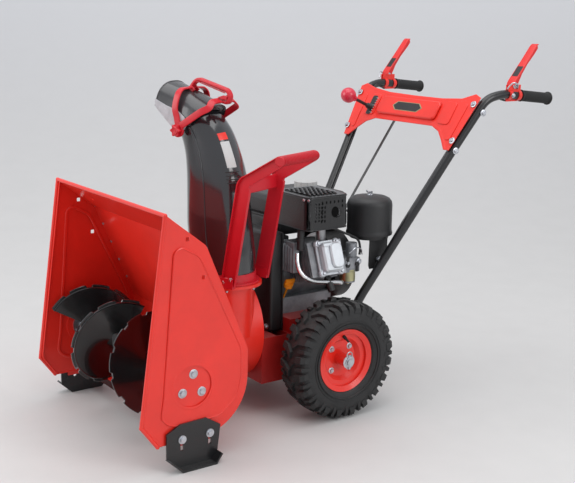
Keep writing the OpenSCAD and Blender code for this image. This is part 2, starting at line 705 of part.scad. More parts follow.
hex_r = 8;
module hex_shaft() placed() color("dimgray") translate([0, hex_y, hex_z]) {
    x_rod(hex_r, -chassis_half + sheet + 2, chassis_half - sheet - 2, $fn = 6);
    translate([chain_x, 0, 0]) difference() {
        x_rod(sprocket_small, -2, 2);
        x_rod(hex_r - 2, -5, 5);
    }
}
module friction_wheel() placed() color("black") translate([friction_x, hex_y, hex_z]) difference() {
    union() {
        x_rod(friction_r, -7, 7);
        x_rod(18, -14, 14);
    }
    x_rod(hex_r + gap, -20, 20);
}
module drive_disc() placed() color("silver") translate([0, 0, disc_z]) {
    y_rod(disc_r, disc_face - 4, disc_face);
    for (s = [-1, 1]) translate([0, drive_y + s * (belt_w / 2 + 1.9), 0]) y_rod(disc_pulley_r, -1.4, 1.4);
    y_rod(disc_pulley_r - belt_t - gap, drive_y - belt_w / 2 - 1, drive_y + belt_w / 2 + 1);
    y_rod(disc_hub_r, drive_y, disc_face - 1);
}

// The loop outline lies in the XZ plane at height y
module belt(y, r_low, z_low) translate([0, y + belt_w / 2, 0]) rotate([90, 0, 0]) linear_extrude(belt_w)
    translate([0, z_low]) loop_band(r_low, engine_pulley_r, [0, crank_z - z_low], belt_t - 1);
module drive_belts() placed() color("black") {
    belt(pulley_y, impeller_pulley_r, impeller_z);
    belt(drive_y, disc_pulley_r, disc_z);
}

// ---------- Engine ----------
case_y = [-88, 92];
module crankshaft() placed() color("silver") translate([0, 0, crank_z]) {
    y_rod(11, pulley_y - 9, case_y[1] + 40);
    for (y = [pulley_y, drive_y]) translate([0, y, 0]) {
        for (s = [-1, 1]) translate([0, s * (belt_w / 2 + 1.9), 0]) y_rod(engine_pulley_r, -1.4, 1.4);
        y_rod(engine_pulley_r - belt_t - gap, -belt_w / 2 - 1, belt_w / 2 + 1);
    }
    translate([0, case_y[1] + 14, 0]) y_rod(92, 0, 20);
}

cyl_c = [0, 2];
head_d = 150;
fin_n = 7;
module cyl_axis() translate([0, cyl_c[1], crank_z]) rotate([0, 90 - cyl_tilt, 0]) children();
module crankcase() placed() color("silver") {
    difference() {
        union() {
            translate([-82, case_y[0], deck_z + tiny]) cube([164, case_y[1] - case_y[0], 46]);
            translate([0, 0, crank_z]) y_rod(82, case_y[0], case_y[1]);
            cyl_axis() {
                translate([0, 0, 40]) cylinder(r = 42, h = head_d - 40 - tiny);
                for (i = [0 : fin_n - 1]) translate([-52, -56, 84 + i * 10]) cube([104, 112, 3]);
            }
        }
        translate([0, 0, crank_z]) {
            y_rod(11 + run_fit, case_y[0] - 1, case_y[1] + 1);
            y_rod(66, case_y[0] + 12, case_y[1] - 12);
        }
        cyl_axis() translate([0, 0, 20]) cylinder(r = 34, h = head_d);
        translate([84, dip_y, dip_z]) rotate([0, 30, 0]) cylinder(r = 4, h = 60, center = true);
    }
}
dip_y = -73;
dip_z = deck_z + 56;

module cylinder_head() placed() color("silver") cyl_axis() translate([0, 0, head_d]) {
    translate([-48, -58, 0]) cube([96, 116, 8]);
    for (i = [0 : 3]) translate([-48, -58, 12 + i * 8]) cube([96, 116, 3]);
    translate([-42, -38, 0]) cube([84, 76, 44]);
}
module rocker_cover() placed() color("gainsboro") cyl_axis() translate([0, 0, head_d + 44]) difference() {
    union() {
        translate([-46, -36, tiny]) cube([92, 72, 5]);
        translate([-41, -31, 0]) cube([82, 62, 30]);
    }
    translate([-38, -28, -1]) cube([76, 56, 28]);
}
module spark_plug() placed() color("black") cyl_axis() translate([36, 0, head_d + 22]) rotate([0, 78, 0]) {
    translate([0, 0, 14]) cylinder(r = 10, h = 8, $fn = 6);
    translate([0, 0, 22 - tiny]) cylinder(r = 7, h = 16);
    translate([0, 0, 34]) cylinder(r = 10, h = 24);
}

shield = [[44, -84, 520], [204, 54, 612]];
shield_size = shield[1] - shield[0];
module muffler() placed() color("dimgray") {
    difference() {
        translate(shield[0] + [14, 12, 8]) cube(shield_size - [28, 24, 24]);
        translate(shield[0] + [16, 14, 10]) cube(shield_size - [32, 28, 28]);
    }
    bent_bar([[150, 0, crank_z + 98], [150, 0, 531]], 14);
}
module muffler_shield() placed() color("black") difference() {
    union() {
        translate(shield[0] + [18, 0, 0]) cube(shield_size - [18, 0, 0] - [18, 0, 0]);
        translate(shield[0] + [0, 18, 0]) cube(shield_size - [0, 36, 0]);
        for (p = [[18, 18], [shield_size[0] - 18, 18], [18, shield_size[1] - 18],
            [shield_size[0] - 18, shield_size[1] - 18]])
            translate(shield[0] + [p[0], p[1], 0]) cylinder(r = 18, h = shield_size[2]);
    }
    translate(shield[0] + [2, 2, -5]) cube(shield_size - [4, 4, -3]);
    for (i = [0 : 5]) for (j = [0 : 2]) translate(shield[0] + [0, 26 + j * 11, 26 + i * 9])
        x_rod(3, shield_size[0] - 10, shield_size[0] + 10);
    translate(shield[0] + [0, 98, 42]) x_rod(13, shield_size[0] - 10, shield_size[0] + 10);
    for (i = [0 : 6]) translate(shield[0] + [24, 22 + i * 14, shield_size[2] - 5])
        cube([shield_size[0] - 48, 5, 10]);
}

carb_c = [140, 118, 396];
module carburetor() placed() color("silver") translate(carb_c) {
    translate([-22, -46, -20]) cube([44, 60, 40]);
    translate([0, -12, -52]) cylinder(r = 22, h = 34);
    translate([0, -12, -58]) cylinder(r = 6, h = 8);
    translate([0, 0, 14]) cylinder(r = 16, h = 46);
}
module throttle_lever() placed() color("black") translate(carb_c + [22 + gap, -30, 2]) {
    x_rod(7, 0, 4);
    translate([0, -4, 0]) cube([3, 8, 26]);
}
module choke_lever() placed() color("black") translate(carb_c + [22 + gap, 4, 2]) {
    x_rod(7, 0, 4);
    translate([0, -4, -22]) cube([3, 8, 22]);
}

cleaner_c = [118, 200];
cleaner_r = 62;
module air_cleaner() placed() color("black") translate([cleaner_c[0], cleaner_c[1], 0]) {
    translate([0, 0, 466]) cylinder(r = cleaner_r, h = 100);
    translate([0, 0, 566]) cylinder(r1 = cleaner_r, r2 = cleaner_r - 14, h = 14);
    translate([0, 0, 456]) cylinder(r = cleaner_r - 8, h = 10 + tiny);
    translate([0, 0, 580 - tiny]) cylinder(r = 5, h = 8);
    translate([-13, -3, 586]) cube([26, 6, 8]);
}

tank = [[-176, -62, 474], [34, 190, 582]];
cap_c = [-60, 100];
module fuel_tank() placed() color("black") difference() {
    union() {
        translate(tank[0]) cube(tank[1] - tank[0]);
        translate([cap_c[0], cap_c[1], tank[1][2] - tiny]) cylinder(r = 24, h = 9);
    }
    translate(tank[0] + [3, 3, 3]) cube(tank[1] - tank[0] - [6, 6, 6]);
    translate([cap_c[0], cap_c[1], tank[1][2] - 10]) cylinder(r = 20, h = 30);
}
module fuel_cap() placed() color("lightgray") translate([cap_c[0], cap_c[1], tank[1][2] + gap]) difference() {
    cylinder(r = 34, h = 24);
    translate([0, 0, -1]) cylinder(r = 24 + gap, h = 11);
    for (a = [0 : 30 : 330]) rotate(a) translate([35.5, 0, 6]) cylinder(r = 3, h = 30);
}
module dipstick() placed() color("orange") translate([84, dip_y, dip_z]) rotate([0, 30, 0]) {
    translate([0, 0, -20]) cylinder(r = 3, h = 60);
    translate([0, 0, 32]) cylinder(r = 13, h = 12);
    translate([-3, -15, 43]) cube([6, 30, 14]);
}

module recoil_housing() placed() color("black") translate([0, 0, crank_z]) difference() {
    y_rod(104, case_y[1] + tiny, case_y[1] + 70);
    y_rod(101, case_y[1] - 1, case_y[1] + 56);
    for (r = [40 : 22 : 84]) for (a = [0 : 30 : 330]) rotate([0, a + r, 0])
        translate([r, 0, 0]) y_rod(5, case_y[1] + 50, case_y[1] + 80);
}
recoil_x = -70;
module recoil_grip() placed() color("black") translate([recoil_x, case_y[1] + 70, crank_z + 64]) {
    y_rod(6, gap, 12);
    translate([0, 18, 0]) x_rod(9, -36, 36);
}

// ---------- Handlebar and controls ----------
bar_path = [bar_foot, bar_low, bar_dash, bar_bend, bar_round, bar_flat, bar_end];
module handlebar() placed() color("black") {
    bent_bar(bar_path, bar_r);
    mirror([1, 0, 0]) bent_bar(bar_path, bar_r);
}

// Red plates that bolt the tubes to the chassis, and the clutch lever brackets
module handlebar_brackets() placed() color("red") mirrored() {
    difference() {
        translate([chassis_half + tiny, 60, deck_z - 52]) cube([4, 90, 52]);
        translate([0, 118, 262]) x_rod(6, 130, 160);
    }
    translate([grip_half - 9, lever_y - 24, grip_z - 8]) cube([3, 48, lever_z + 10 - grip_z]);
    translate([grip_half + 1, lever_y - 24, grip_z + bar_r]) cube([3, 48, lever_z + 2 - grip_z - bar_r]);
}

dash_bottom = [0, 403 - 17, 709 + 8];
module dash_frame() placed() translate(dash_bottom) rotate([90 - dash_tilt, 0, 0]) children();
module dash_panel() dash_frame() color("red") difference() {
    union() {
        linear_extrude(3) polygon([[-236, -4], [-264, 168], [-244, 176], [-120, 152], [120, 148],
            [210, 152], [246, 172], [264, 168], [236, -4], [222, -2], [160, 58], [130, 68],
            [-130, 68], [-160, 58], [-222, -2]]);
        translate([-125, 84, 2]) cube([250, 52, 8]);
    }
    translate([-118, 90, -1]) cube([236, 40, 8]);
    translate([gear_x - 6, 66, -1]) cube([12, 68, 20]);
}

function lerp(p, q, f) = p + (q - p) * f;
grip_start = lerp(bar_end, bar_flat, grip_len / norm(bar_end - bar_flat));
module grip() difference() {
    union() {
        bar(grip_start, bar_end, 16);
        bar(lerp(bar_end, bar_flat, 0.03), bar_end + [0, 2, 0], 19.5);
    }
    bar(bar_flat, lerp(bar_end, bar_flat, 0.01), bar_r);
}
module grips() placed() color("black") mirrored() grip();

module clutch_lever() translate([grip_half - 2.5, lever_y, lever_z]) {
    x_rod(7, -3.2, 3.2);
    rotate([lever_rise, 0, 0]) translate([-3, 0, -11]) difference() {
        cube([6, lever_len, 22]);
        translate([-1, lever_len * 0.2, -10]) rotate([4, 0, 0]) cube([8, lever_len, 10]);
    }
}
module clutch_lever_left() placed() color("red") clutch_lever();
module clutch_lever_right() placed() color("red") mirror([1, 0, 0]) clutch_lever();

knob_c = [gear_x, 340, 842];
module gear_lever() placed() color("black") {
    bar(gear_pivot, knob_c, 5);
    translate(knob_c) sphere(r = 24);
    translate(gear_pivot) x_rod(9, -8, 8);
    bar(gear_pivot, gear_pivot + [0, 42, -6], 4);
}
rod_top = gear_pivot + [9, 42, -6];
rod_low = [-116, 95, 218];
module shift_rod() placed() color("black") sweep([rod_top, lerp(rod_top, rod_low, 0.5), rod_low], 4);

module control_cables() placed() color("black") mirrored()
    sweep([[grip_half - 12, lever_y - 22, grip_z - 5], bar_round - [20, 0, 4], bar_bend - [18, 0, 0],
        bar_dash - [18, 0, 0], lerp(bar_low, bar_dash, 0.5) - [18, 0, 0], bar_low + [-18, 12, 0],
        [120, 172, 265], [100, 165, 205], [100, chassis_back - 0.5, 200]], 3);

auger_housing();
side_plates();
scraper_bar();
housing_bolts();
bearings();
gearbox_case();
gearbox_brace();
impeller_housing();
auger_shaft();
worm_wheel();
auger_flights();
shear_bolts();
impeller_shaft();
impeller();
impeller_pulley();
chute_ring();
chute();
chute_handle();
deflector();
deflector_frame();
deflector_knob_left();
deflector_knob_right();
skid_shoe_left();
skid_shoe_right();
chassis_box();
belt_cover();
axle();
rims();
tyres();
lynch_pins();
drive_chain();
hex_shaft();
friction_wheel();
drive_disc();
drive_belts();
crankshaft();
crankcase();
cylinder_head();
rocker_cover();
spark_plug();
muffler();
muffler_shield();
carburetor();
throttle_lever();
choke_lever();
air_cleaner();
fuel_tank();
fuel_cap();
dipstick();
recoil_housing();
recoil_grip();
handlebar();
handlebar_brackets();
dash_panel();
grips();
clutch_lever_left();
clutch_lever_right();
gear_lever();
shift_rod();
control_cables();
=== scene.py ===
import json
import bmesh
import bpy
from math import cos, hypot, pi, radians, sin, sqrt, tau
from mathutils import Matrix, Vector


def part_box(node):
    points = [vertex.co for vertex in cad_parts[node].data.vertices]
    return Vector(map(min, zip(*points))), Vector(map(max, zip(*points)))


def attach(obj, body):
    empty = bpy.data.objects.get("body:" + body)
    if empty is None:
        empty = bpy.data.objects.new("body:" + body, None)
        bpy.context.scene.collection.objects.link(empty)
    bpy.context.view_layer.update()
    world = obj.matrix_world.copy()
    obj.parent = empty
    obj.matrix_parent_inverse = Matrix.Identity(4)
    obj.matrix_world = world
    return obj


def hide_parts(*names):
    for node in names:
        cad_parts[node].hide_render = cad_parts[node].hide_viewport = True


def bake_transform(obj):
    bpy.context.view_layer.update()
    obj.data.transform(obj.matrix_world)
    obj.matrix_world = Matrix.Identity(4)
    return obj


# Looks of a two-stage walk-behind snow blower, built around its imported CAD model.
# Lengths are in millimetres, and rig() puts a point into the frame's metres.

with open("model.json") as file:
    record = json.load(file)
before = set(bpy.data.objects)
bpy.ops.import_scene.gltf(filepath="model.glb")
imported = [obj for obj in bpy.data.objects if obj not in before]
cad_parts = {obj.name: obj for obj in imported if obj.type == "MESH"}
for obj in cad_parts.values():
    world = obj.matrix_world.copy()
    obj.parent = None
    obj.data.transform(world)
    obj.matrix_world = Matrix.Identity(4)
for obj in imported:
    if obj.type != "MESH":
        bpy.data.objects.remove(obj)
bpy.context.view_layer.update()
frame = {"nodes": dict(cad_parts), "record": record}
nodes = frame["nodes"]

# ---------- Places ----------
AXLE = [sum(pair) / 2 * 1000 for pair in zip(*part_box("axle"))]
PARK = radians(-69)
CHUTE = Vector((90, -257, 0))


def rig(x, y, z):
    """A point whose y is counted from the wheel axle, in the frame's metres."""
    return Vector((x, y + AXLE[1], z)) / 1000


def chute(x, y, z):
    """A point in the chute's own frame, where it faces -Y and stands on the origin."""
    return rig(CHUTE.x + x * cos(PARK) - y * sin(PARK), CHUTE.y + x * sin(PARK) + y * cos(PARK), z)


# ---------- Materials ----------
def node_maker(mat):
    tree = mat.node_tree

    def make(kind, **inputs):
        node = tree.nodes.new("ShaderNode" + kind)
        for key, value in inputs.items():
            name = key.replace("_", " ")
            socket = node.inputs[name]
            if isinstance(value, bpy.types.NodeSocket):
                tree.links.new(value, socket)
            else:
                socket.default_value = value
        return node
    return tree, make


def surface(name, color, shade=0.75, rough=(0.3, 0.45), metal=0.0, coat=0.0, grain=120, bump=0.02,
            patch=9, dust=0.0, stretch=(1, 1, 1), bump_size=0.001, spec=0.5):
    """A finish with soft colour patches, a varied roughness, a fine grain and dust on what faces up."""
    mat = bpy.data.materials.new(name)
    mat.use_nodes = True
    tree, make = node_maker(mat)
    shader = tree.nodes["Principled BSDF"]
    shader.inputs["Metallic"].default_value = metal
    shader.inputs["Coat Weight"].default_value = coat
    shader.inputs["Coat Roughness"].default_value = 0.12
    shader.inputs["Specular IOR Level"].default_value = spec
    where = make("TexCoord").outputs["Object"]
    spread = make("Mapping", Vector=where, Scale=stretch).outputs["Vector"]
    patches = make("TexNoise", Vector=spread, Scale=patch, Detail=4.0, Roughness=0.6).outputs["Fac"]
    fine = make("TexNoise", Vector=spread, Scale=grain * 8, Detail=3.0, Roughness=0.6).outputs["Fac"]
    ramp = make("ValToRGB", Fac=patches)
    dark = [c * shade for c in color]
    ramp.color_ramp.elements[0].position = 0.3
    ramp.color_ramp.elements[0].color = (*dark, 1)
    ramp.color_ramp.elements[1].position = 0.7
    ramp.color_ramp.elements[1].color = (*color, 1)
    out = ramp.outputs["Color"]
    if dust:
        up = make("SeparateXYZ", Vector=make("NewGeometry").outputs["Normal"]).outputs["Z"]
        amount = make("MapRange", Value=up)
        amount.inputs["From Min"].default_value = 0.3
        amount.inputs["To Max"].default_value = dust
        both = make("Math", Value=amount.outputs["Result"])
        both.operation = "MULTIPLY"
        tree.links.new(patches, both.inputs[1])
        mix = make("Mix")
        mix.data_type = "RGBA"
        tree.links.new(both.outputs[0], mix.inputs["Factor"])
        tree.links.new(out, mix.inputs[6])
        mix.inputs[7].default_value = (0.45, 0.44, 0.42, 1)
        out = mix.outputs[2]
    tree.links.new(out, shader.inputs["Base Color"])
    level = make("MapRange", Value=fine)
    level.inputs["To Min"].default_value = rough[0]
    level.inputs["To Max"].default_value = rough[1]
    tree.links.new(level.outputs["Result"], shader.inputs["Roughness"])
    relief = make("Bump", Height=fine, Strength=min(1.0, bump * 10), Distance=bump_size)
    tree.links.new(relief.outputs["Normal"], shader.inputs["Normal"])
    return mat


RED = surface("red_powder_coat", (0.83, 0.026, 0.014), shade=0.86, rough=(0.28, 0.4), coat=0.25, grain=60,
              bump=0.02, bump_size=0.0004)
DARK_RED = surface("dark_red_paint", (0.40, 0.012, 0.010), shade=0.7, rough=(0.35, 0.5), dust=0.15, grain=60)
CRIMSON = surface("crimson_plastic", (0.60, 0.010, 0.022), shade=0.85, rough=(0.32, 0.42), grain=90,
                  bump=0.02, bump_size=0.0004)
RED_PLASTIC = surface("red_plastic", (0.72, 0.02, 0.018), shade=0.88, rough=(0.3, 0.42), grain=90)
PINK_RED = surface("knob_plastic", (0.62, 0.02, 0.05), shade=0.9, rough=(0.25, 0.35), coat=0.3, grain=90)
GLOSS_BLACK = surface("gloss_black_plastic", (0.014, 0.015, 0.018), shade=0.7, rough=(0.14, 0.22), coat=1.0,
                      grain=50, bump=0.015, bump_size=0.0004)
HOOD = surface("hood_plastic", (0.045, 0.045, 0.048), shade=0.7, rough=(0.2, 0.3), coat=0.3, grain=50)
SATIN_BLACK = surface("satin_black_plastic", (0.013, 0.013, 0.014), shade=0.7, rough=(0.38, 0.5), grain=150,
                      bump=0.04, dust=0.05)
BLACK_STEEL = surface("black_powder_coat", (0.011, 0.011, 0.012), shade=0.7, rough=(0.22, 0.36), coat=0.2,
                      grain=60, bump=0.03, dust=0.04)
ZINC = surface("zinc_plate", (0.62, 0.64, 0.68), shade=0.75, rough=(0.22, 0.4), metal=1.0, grain=200,
               bump=0.03, patch=60)
STEEL = surface("machined_steel", (0.42, 0.42, 0.43), shade=0.7, rough=(0.25, 0.42), metal=1.0, grain=120,
                stretch=(1, 12, 12))
CHROME = surface("chrome_tube", (0.78, 0.79, 0.8), shade=0.9, rough=(0.07, 0.15), metal=1.0, grain=60)
CAST = surface("cast_aluminium", (0.36, 0.37, 0.39), shade=0.6, rough=(0.42, 0.62), metal=0.85, grain=160,
               bump=0.09, dust=0.1, patch=30)
SILVER = surface("silver_casting", (0.66, 0.69, 0.72), shade=0.85, rough=(0.32, 0.45), metal=0.6, grain=160,
                 bump=0.05, patch=30)
BRONZE = surface("bronze", (0.5, 0.33, 0.12), shade=0.75, rough=(0.3, 0.45), metal=1.0)
YELLOW_ZINC = surface("yellow_zinc", (0.55, 0.52, 0.3), shade=0.7, rough=(0.25, 0.4), metal=0.9, patch=40)
RUBBER = surface("grip_rubber", (0.014, 0.014, 0.014), shade=0.8, rough=(0.5, 0.65), grain=200, bump=0.06)
TYRE = surface("tyre_rubber", (0.02, 0.02, 0.0205), shade=0.6, rough=(0.55, 0.75), grain=140, bump=0.08,
               dust=0.12, patch=30)
ORANGE = surface("orange_plastic", (0.9, 0.30, 0.015), shade=0.85, rough=(0.3, 0.4))
GREY = surface("grey_plastic", (0.5, 0.5, 0.49), shade=0.85, rough=(0.4, 0.55), grain=150)
IRON = surface("painted_iron", (0.02, 0.02, 0.021), shade=0.6, rough=(0.35, 0.55), grain=120, bump=0.1)
BLANK = surface("blank_label", (0.55, 0.56, 0.55), shade=0.92, rough=(0.4, 0.5), grain=80)

BY_SLOT = {
    "red_paint": RED, "dark_red_paint": DARK_RED, "crimson_plastic": CRIMSON, "red_plastic": RED_PLASTIC,
    "black_gloss_plastic": GLOSS_BLACK, "black_plastic": SATIN_BLACK, "black_paint": BLACK_STEEL,
    "zinc": ZINC, "steel": STEEL, "cast_aluminium": CAST, "bright_aluminium": SILVER, "bronze": BRONZE,
    "rubber": RUBBER, "tyre_rubber": TYRE, "orange_plastic": ORANGE, "grey_plastic": GREY,
    "cast_iron_black": IRON}
for part in frame["record"]["subparts"]:
    piece = nodes[part["node"]]
    piece.data.materials.clear()
    piece.data.materials.append(BY_SLOT[part["material_slot"]])

# ---------- Camera, floor and light ----------
YAW = radians(54.78)
PITCH = radians(12.45)
ROLL = radians(0.743)


def place_camera():
    back = Vector((sin(YAW) * cos(PITCH), -cos(YAW) * cos(PITCH), sin(PITCH)))
    right = (-back).cross(Vector((0, 0, 1))).normalized()
    up = right.cross(-back)
    level = cos(ROLL) * right + sin(ROLL) * up
    tip = cos(ROLL) * up - sin(ROLL) * right
    data = bpy.data.cameras.new("camera")
    data.sensor_width = 36
    data.lens = 1041.04 * 36 / 575
    data.clip_end = 60
    camera = bpy.data.objects.new("camera", data)
    turn = Matrix((level, tip, back)).transposed().to_4x4()
    camera.matrix_world = Matrix.Translation(rig(2393.46, -1695.07, 1093.62)) @ turn
    bpy.context.scene.collection.objects.link(camera)
    bpy.context.scene.camera = camera


def new_mesh(name, verts, faces, mat):
    mesh = bpy.data.meshes.new(name)
    mesh.from_pydata([tuple(v) for v in verts], [], [tuple(f) for f in faces])
    mesh.materials.append(mat)
    piece = bpy.data.objects.new(name, mesh)
    bpy.context.scene.collection.objects.link(piece)
    return piece


def make_room():
    floor_mat = surface("studio_floor", (0.60, 0.592, 0.58), shade=0.97, rough=(0.5, 0.7), grain=20,
                        bump=0.01)
    # Painted light: the colour grows paler with height, so the wall is paler than the floor, standing in for the
    # brighter light on the backdrop
    tree, make = node_maker(floor_mat)
    height = make("SeparateXYZ", Vector=make("NewGeometry").outputs["Position"]).outputs["Z"]
    painted_light_rise = make("MapRange", Value=height)
    painted_light_rise.inputs["From Max"].default_value = 1.6
    painted_light_tone = make("Mix")
    painted_light_tone.data_type = "RGBA"
    base = tree.nodes["Principled BSDF"].inputs["Base Color"]
    tree.links.new(painted_light_rise.outputs["Result"], painted_light_tone.inputs["Factor"])
    tree.links.new(base.links[0].from_socket, painted_light_tone.inputs[6])
    painted_light_tone.inputs[7].default_value = (0.83, 0.835, 0.85, 1)
    tree.links.new(painted_light_tone.outputs[2], base)
    # A floor that curves up into a wall behind the machine, seen from the camera
    across = Vector((cos(YAW), sin(YAW), 0))
    away = Vector((-sin(YAW), cos(YAW), 0))
    run = [(-6, 0), (1.0, 0)] + [(1.0 + 7 * sin(a), 7 - 7 * cos(a)) for a in
                                 [radians(3 * k) for k in range(1, 25)]]
    verts = [across * s * 9 + away * d + Vector((0, 0, h)) for d, h in run for s in (-1, 1)]
    faces = [(2 * k, 2 * k + 1, 2 * k + 3, 2 * k + 2) for k in range(len(run) - 1)]
    room = new_mesh("room", verts, faces, floor_mat)
    for poly in room.data.polygons:
        poly.use_smooth = True


def light(name, place, aim, size, power, color=(1, 1, 1)):
    data = bpy.data.lights.new(name, "AREA")
    data.shape = "RECTANGLE"
    data.size, data.size_y = size
    data.energy = power
    data.color = color
    lamp = bpy.data.objects.new(name, data)
    lamp.location = place
    lamp.rotation_euler = (Vector(aim) - Vector(place)).to_track_quat("-Z", "Y").to_euler()
    bpy.context.scene.collection.objects.link(lamp)


place_camera()
make_room()
light("top_light", (0.2, -0.3, 3.6), (0, 0, 0.4), (3.4, 3.4), 70)
light("left_light", (-1.6, -3.4, 2.0), (0, 0, 0.5), (2.0, 2.4), 60)
light("right_light", (3.6, 0.8, 2.1), (0, 0, 0.5), (1.6, 2.4), 46)
world = bpy.data.worlds.new("world")
world.use_nodes = True
world.node_tree.nodes["Background"].inputs["Color"].default_value = (0.93, 0.95, 1, 1)
world.node_tree.nodes["Background"].inputs["Strength"].default_value = 0.70
bpy.context.scene.world = world
bpy.context.scene.view_settings.view_transform = "Standard"

# ---------- Mesh tools: each returns (points, faces) in millimetres ----------
def smooth_path(points, steps=6):
    """A curve through the points (Catmull-Rom)."""
    pts = [Vector(p) for p in points]
    ends = [2 * pts[0] - pts[1]] + pts + [2 * pts[-1] - pts[-2]]
    out = []
    for k in range(1, len(ends) - 2):
        a, b, c, d = ends[k - 1:k + 3]
        for j in range(steps):
            t = j / steps
            out.append(0.5 * (2 * b + t * (c - a) + t * t * (2 * a - 5 * b + 4 * c - d)
                              + t ** 3 * (3 * b - a - 3 * c + d)))
    return out + [pts[-1]]


def bent_path(points, radius, steps=8):
    """Straight runs with a round bend of about that radius at each corner."""
    pts = [Vector(p) for p in points]
    out = [pts[0]]
    for a, b, c in zip(pts, pts[1:], pts[2:]):
        cut = min(radius, (b - a).length * 0.45, (c - b).length * 0.45)
        start, end = b + (a - b).normalized() * cut, b + (c - b).normalized() * cut
        for j in range(steps + 1):
            t = j / steps
            out.append((1 - t) ** 2 * start + 2 * t * (1 - t) * b + t * t * end)
    return out + [pts[-1]]


def sweep(path, section, closed=False, side=(1, 0, 0), caps=True):
    """Carries a section of (u, v) points along a path. Starts with u along side, then turns as little as it can."""
    path = [Vector(p) for p in path]
    shape = section if callable(section) else lambda f: section
    n, m = len(path), len(shape(0))
    verts, faces = [], []
    u = Vector(side)
    for k, p in enumerate(path):
        if closed:
            d = (path[(k + 1) % n] - path[k - 1]).normalized()
        else:
            d = (path[min(k + 1, n - 1)] - path[max(k - 1, 0)]).normalized()
        u = (u - d * u.dot(d)).normalized()
        v = d.cross(u)
        verts += [p + u * a + v * b for a, b in shape(k / (n - 1))]
    for k in range(n if closed else n - 1):
        for j in range(m):
            a, b = k * m + j, k * m + (j + 1) % m
            c, d = ((k + 1) % n) * m + (j + 1) % m, ((k + 1) % n) * m + j
            faces.append((a, b, c, d))
    if caps and not closed:
        faces.append(tuple(reversed(range(m))))
        faces.append(tuple((n - 1) * m + j for j in range(m)))
    return verts, faces


def circle(r, n=16):
    return [(r * cos(tau * k / n), r * sin(tau * k / n)) for k in range(n)]


def oblong(w, t, r, n=4):
    """A rectangle w by t with round corners."""
    out = []
    for cx, cy, a in ((1, 1, 0), (-1, 1, 90), (-1, -1, 180), (1, -1, 270)):
        for k in range(n + 1):
            b = radians(a + 90 * k / n)
            out.append((cx * (w / 2 - r) + r * cos(b), cy * (t / 2 - r) + r * sin(b)))
    return out


def tube(path, r, n=16, **more):
    return sweep(path, circle(r, n), **more)


def frame_at(centre, axis):
    w = Vector(axis).normalized()
    u = w.orthogonal().normalized()
    return Vector(centre), u, w.cross(u), w


def lathe(profile, centre, axis, n=48, closed=False):
    """Turns (radius, height) pairs round an axis."""
    c, u, v, w = frame_at(centre, axis)
    m = len(profile)
    verts = [c + (u * cos(tau * k / n) + v * sin(tau * k / n)) * r + w * h
             for k in range(n) for r, h in profile]
    faces = []
    for k in range(n):
        for j in range(m if closed else m - 1):
            a, b = k * m + j, k * m + (j + 1) % m
            c2, d = ((k + 1) % n) * m + (j + 1) % m, ((k + 1) % n) * m + j
            faces.append((a, d, c2, b))
    return verts, faces


def slab(outline, t, origin=(0, 0, 0), u=(1, 0, 0), v=(0, 1, 0), edge=0.0):
    """A plate: an outline in the plane of u and v, t thick, with its rims chamfered by edge."""
    o, u, v = Vector(origin), Vector(u).normalized(), Vector(v).normalized()
    w = u.cross(v)
    area = sum(a[0] * b[1] - b[0] * a[1] for a, b in zip(outline, outline[1:] + outline[:1]))
    pts = list(outline) if area > 0 else list(reversed(outline))
    n = len(pts)
    inset = []
    for k in range(n):
        a, b, c = Vector(pts[k - 1]), Vector(pts[k]), Vector(pts[(k + 1) % n])
        d, e = (b - a).normalized(), (c - b).normalized()
        s = Vector((-d.y - e.y, d.x + e.x))
        inset.append(b + s * (edge / max(0.4, 1 + d.dot(e))))
    levels = [(pts, 0), (pts, t)] if not edge else [(inset, 0), (pts, edge), (pts, t - edge), (inset, t)]
    verts = [o + u * p[0] + v * p[1] + w * h for ring, h in levels for p in ring]
    faces = [tuple(reversed(range(n)))]
    for k in range(len(levels) - 1):
        faces += [(k * n + j, k * n + (j + 1) % n, (k + 1) * n + (j + 1) % n, (k + 1) * n + j)
                  for j in range(n)]
    faces.append(tuple((len(levels) - 1) * n + j for j in range(n)))
    return verts, faces


def block(low, high, edge=2.0, steps=2, turn=None):
    """A box with rounded edges, turned by a matrix if one is given."""
    mesh = bmesh.new()
    bmesh.ops.create_cube(mesh, size=1.0)
    low, high = Vector(low), Vector(high)
    size = high - low
    for v in mesh.verts:
        v.co = Vector((v.co.x * size.x, v.co.y * size.y, v.co.z * size.z))
    if edge:
        bmesh.ops.bevel(mesh, geom=mesh.edges[:], offset=min(edge, min(size) * 0.45), segments=steps,
                        profile=0.5, affect="EDGES")
    centre = (low + high) / 2
    verts = [(turn @ v.co if turn else v.co) + centre for v in mesh.verts]
    mesh.verts.index_update()
    faces = [tuple(v.index for v in f.verts) for f in mesh.faces]
    mesh.free()
    return verts, faces


def bolt(centre, axis, r=7.0, h=5.0, washer=True):
    """A hexagon head with a chamfered top on a washer."""
    c, u, v, w = frame_at(centre, axis)
    base = 1.5 if washer else 0
    rings = [(r, base), (r, base + h * 0.8), (r * 0.86, base + h)]
    verts = [c + (u * cos(tau * k / 6) + v * sin(tau * k / 6)) * a + w * b for a,
             b in rings for k in range(6)]
    faces = [tuple(reversed(range(6)))] + [
        (6 * j + k, 6 * j + (k + 1) % 6, 6 * j + 6 + (k + 1) % 6, 6 * j + 6 + k)
        for j in range(2) for k in range(6)] + [tuple(range(12, 18))]
    out = [(verts, faces)]
    if washer:
        out.append(lathe([(0, 0), (r * 1.5, 0), (r * 1.5, 1.1), (r * 1.35, 1.6), (0, 1.6)], centre, axis,
                         24))
    return out


def moved(shape, change):
    return [change(p) for p in shape[0]], shape[1]


def mirror(shape):
    return [Vector((-p[0], p[1], p[2])) for p in shape[0]], [tuple(reversed(f)) for f in shape[1]]


def both(shape):
    return [shape, mirror(shape)]


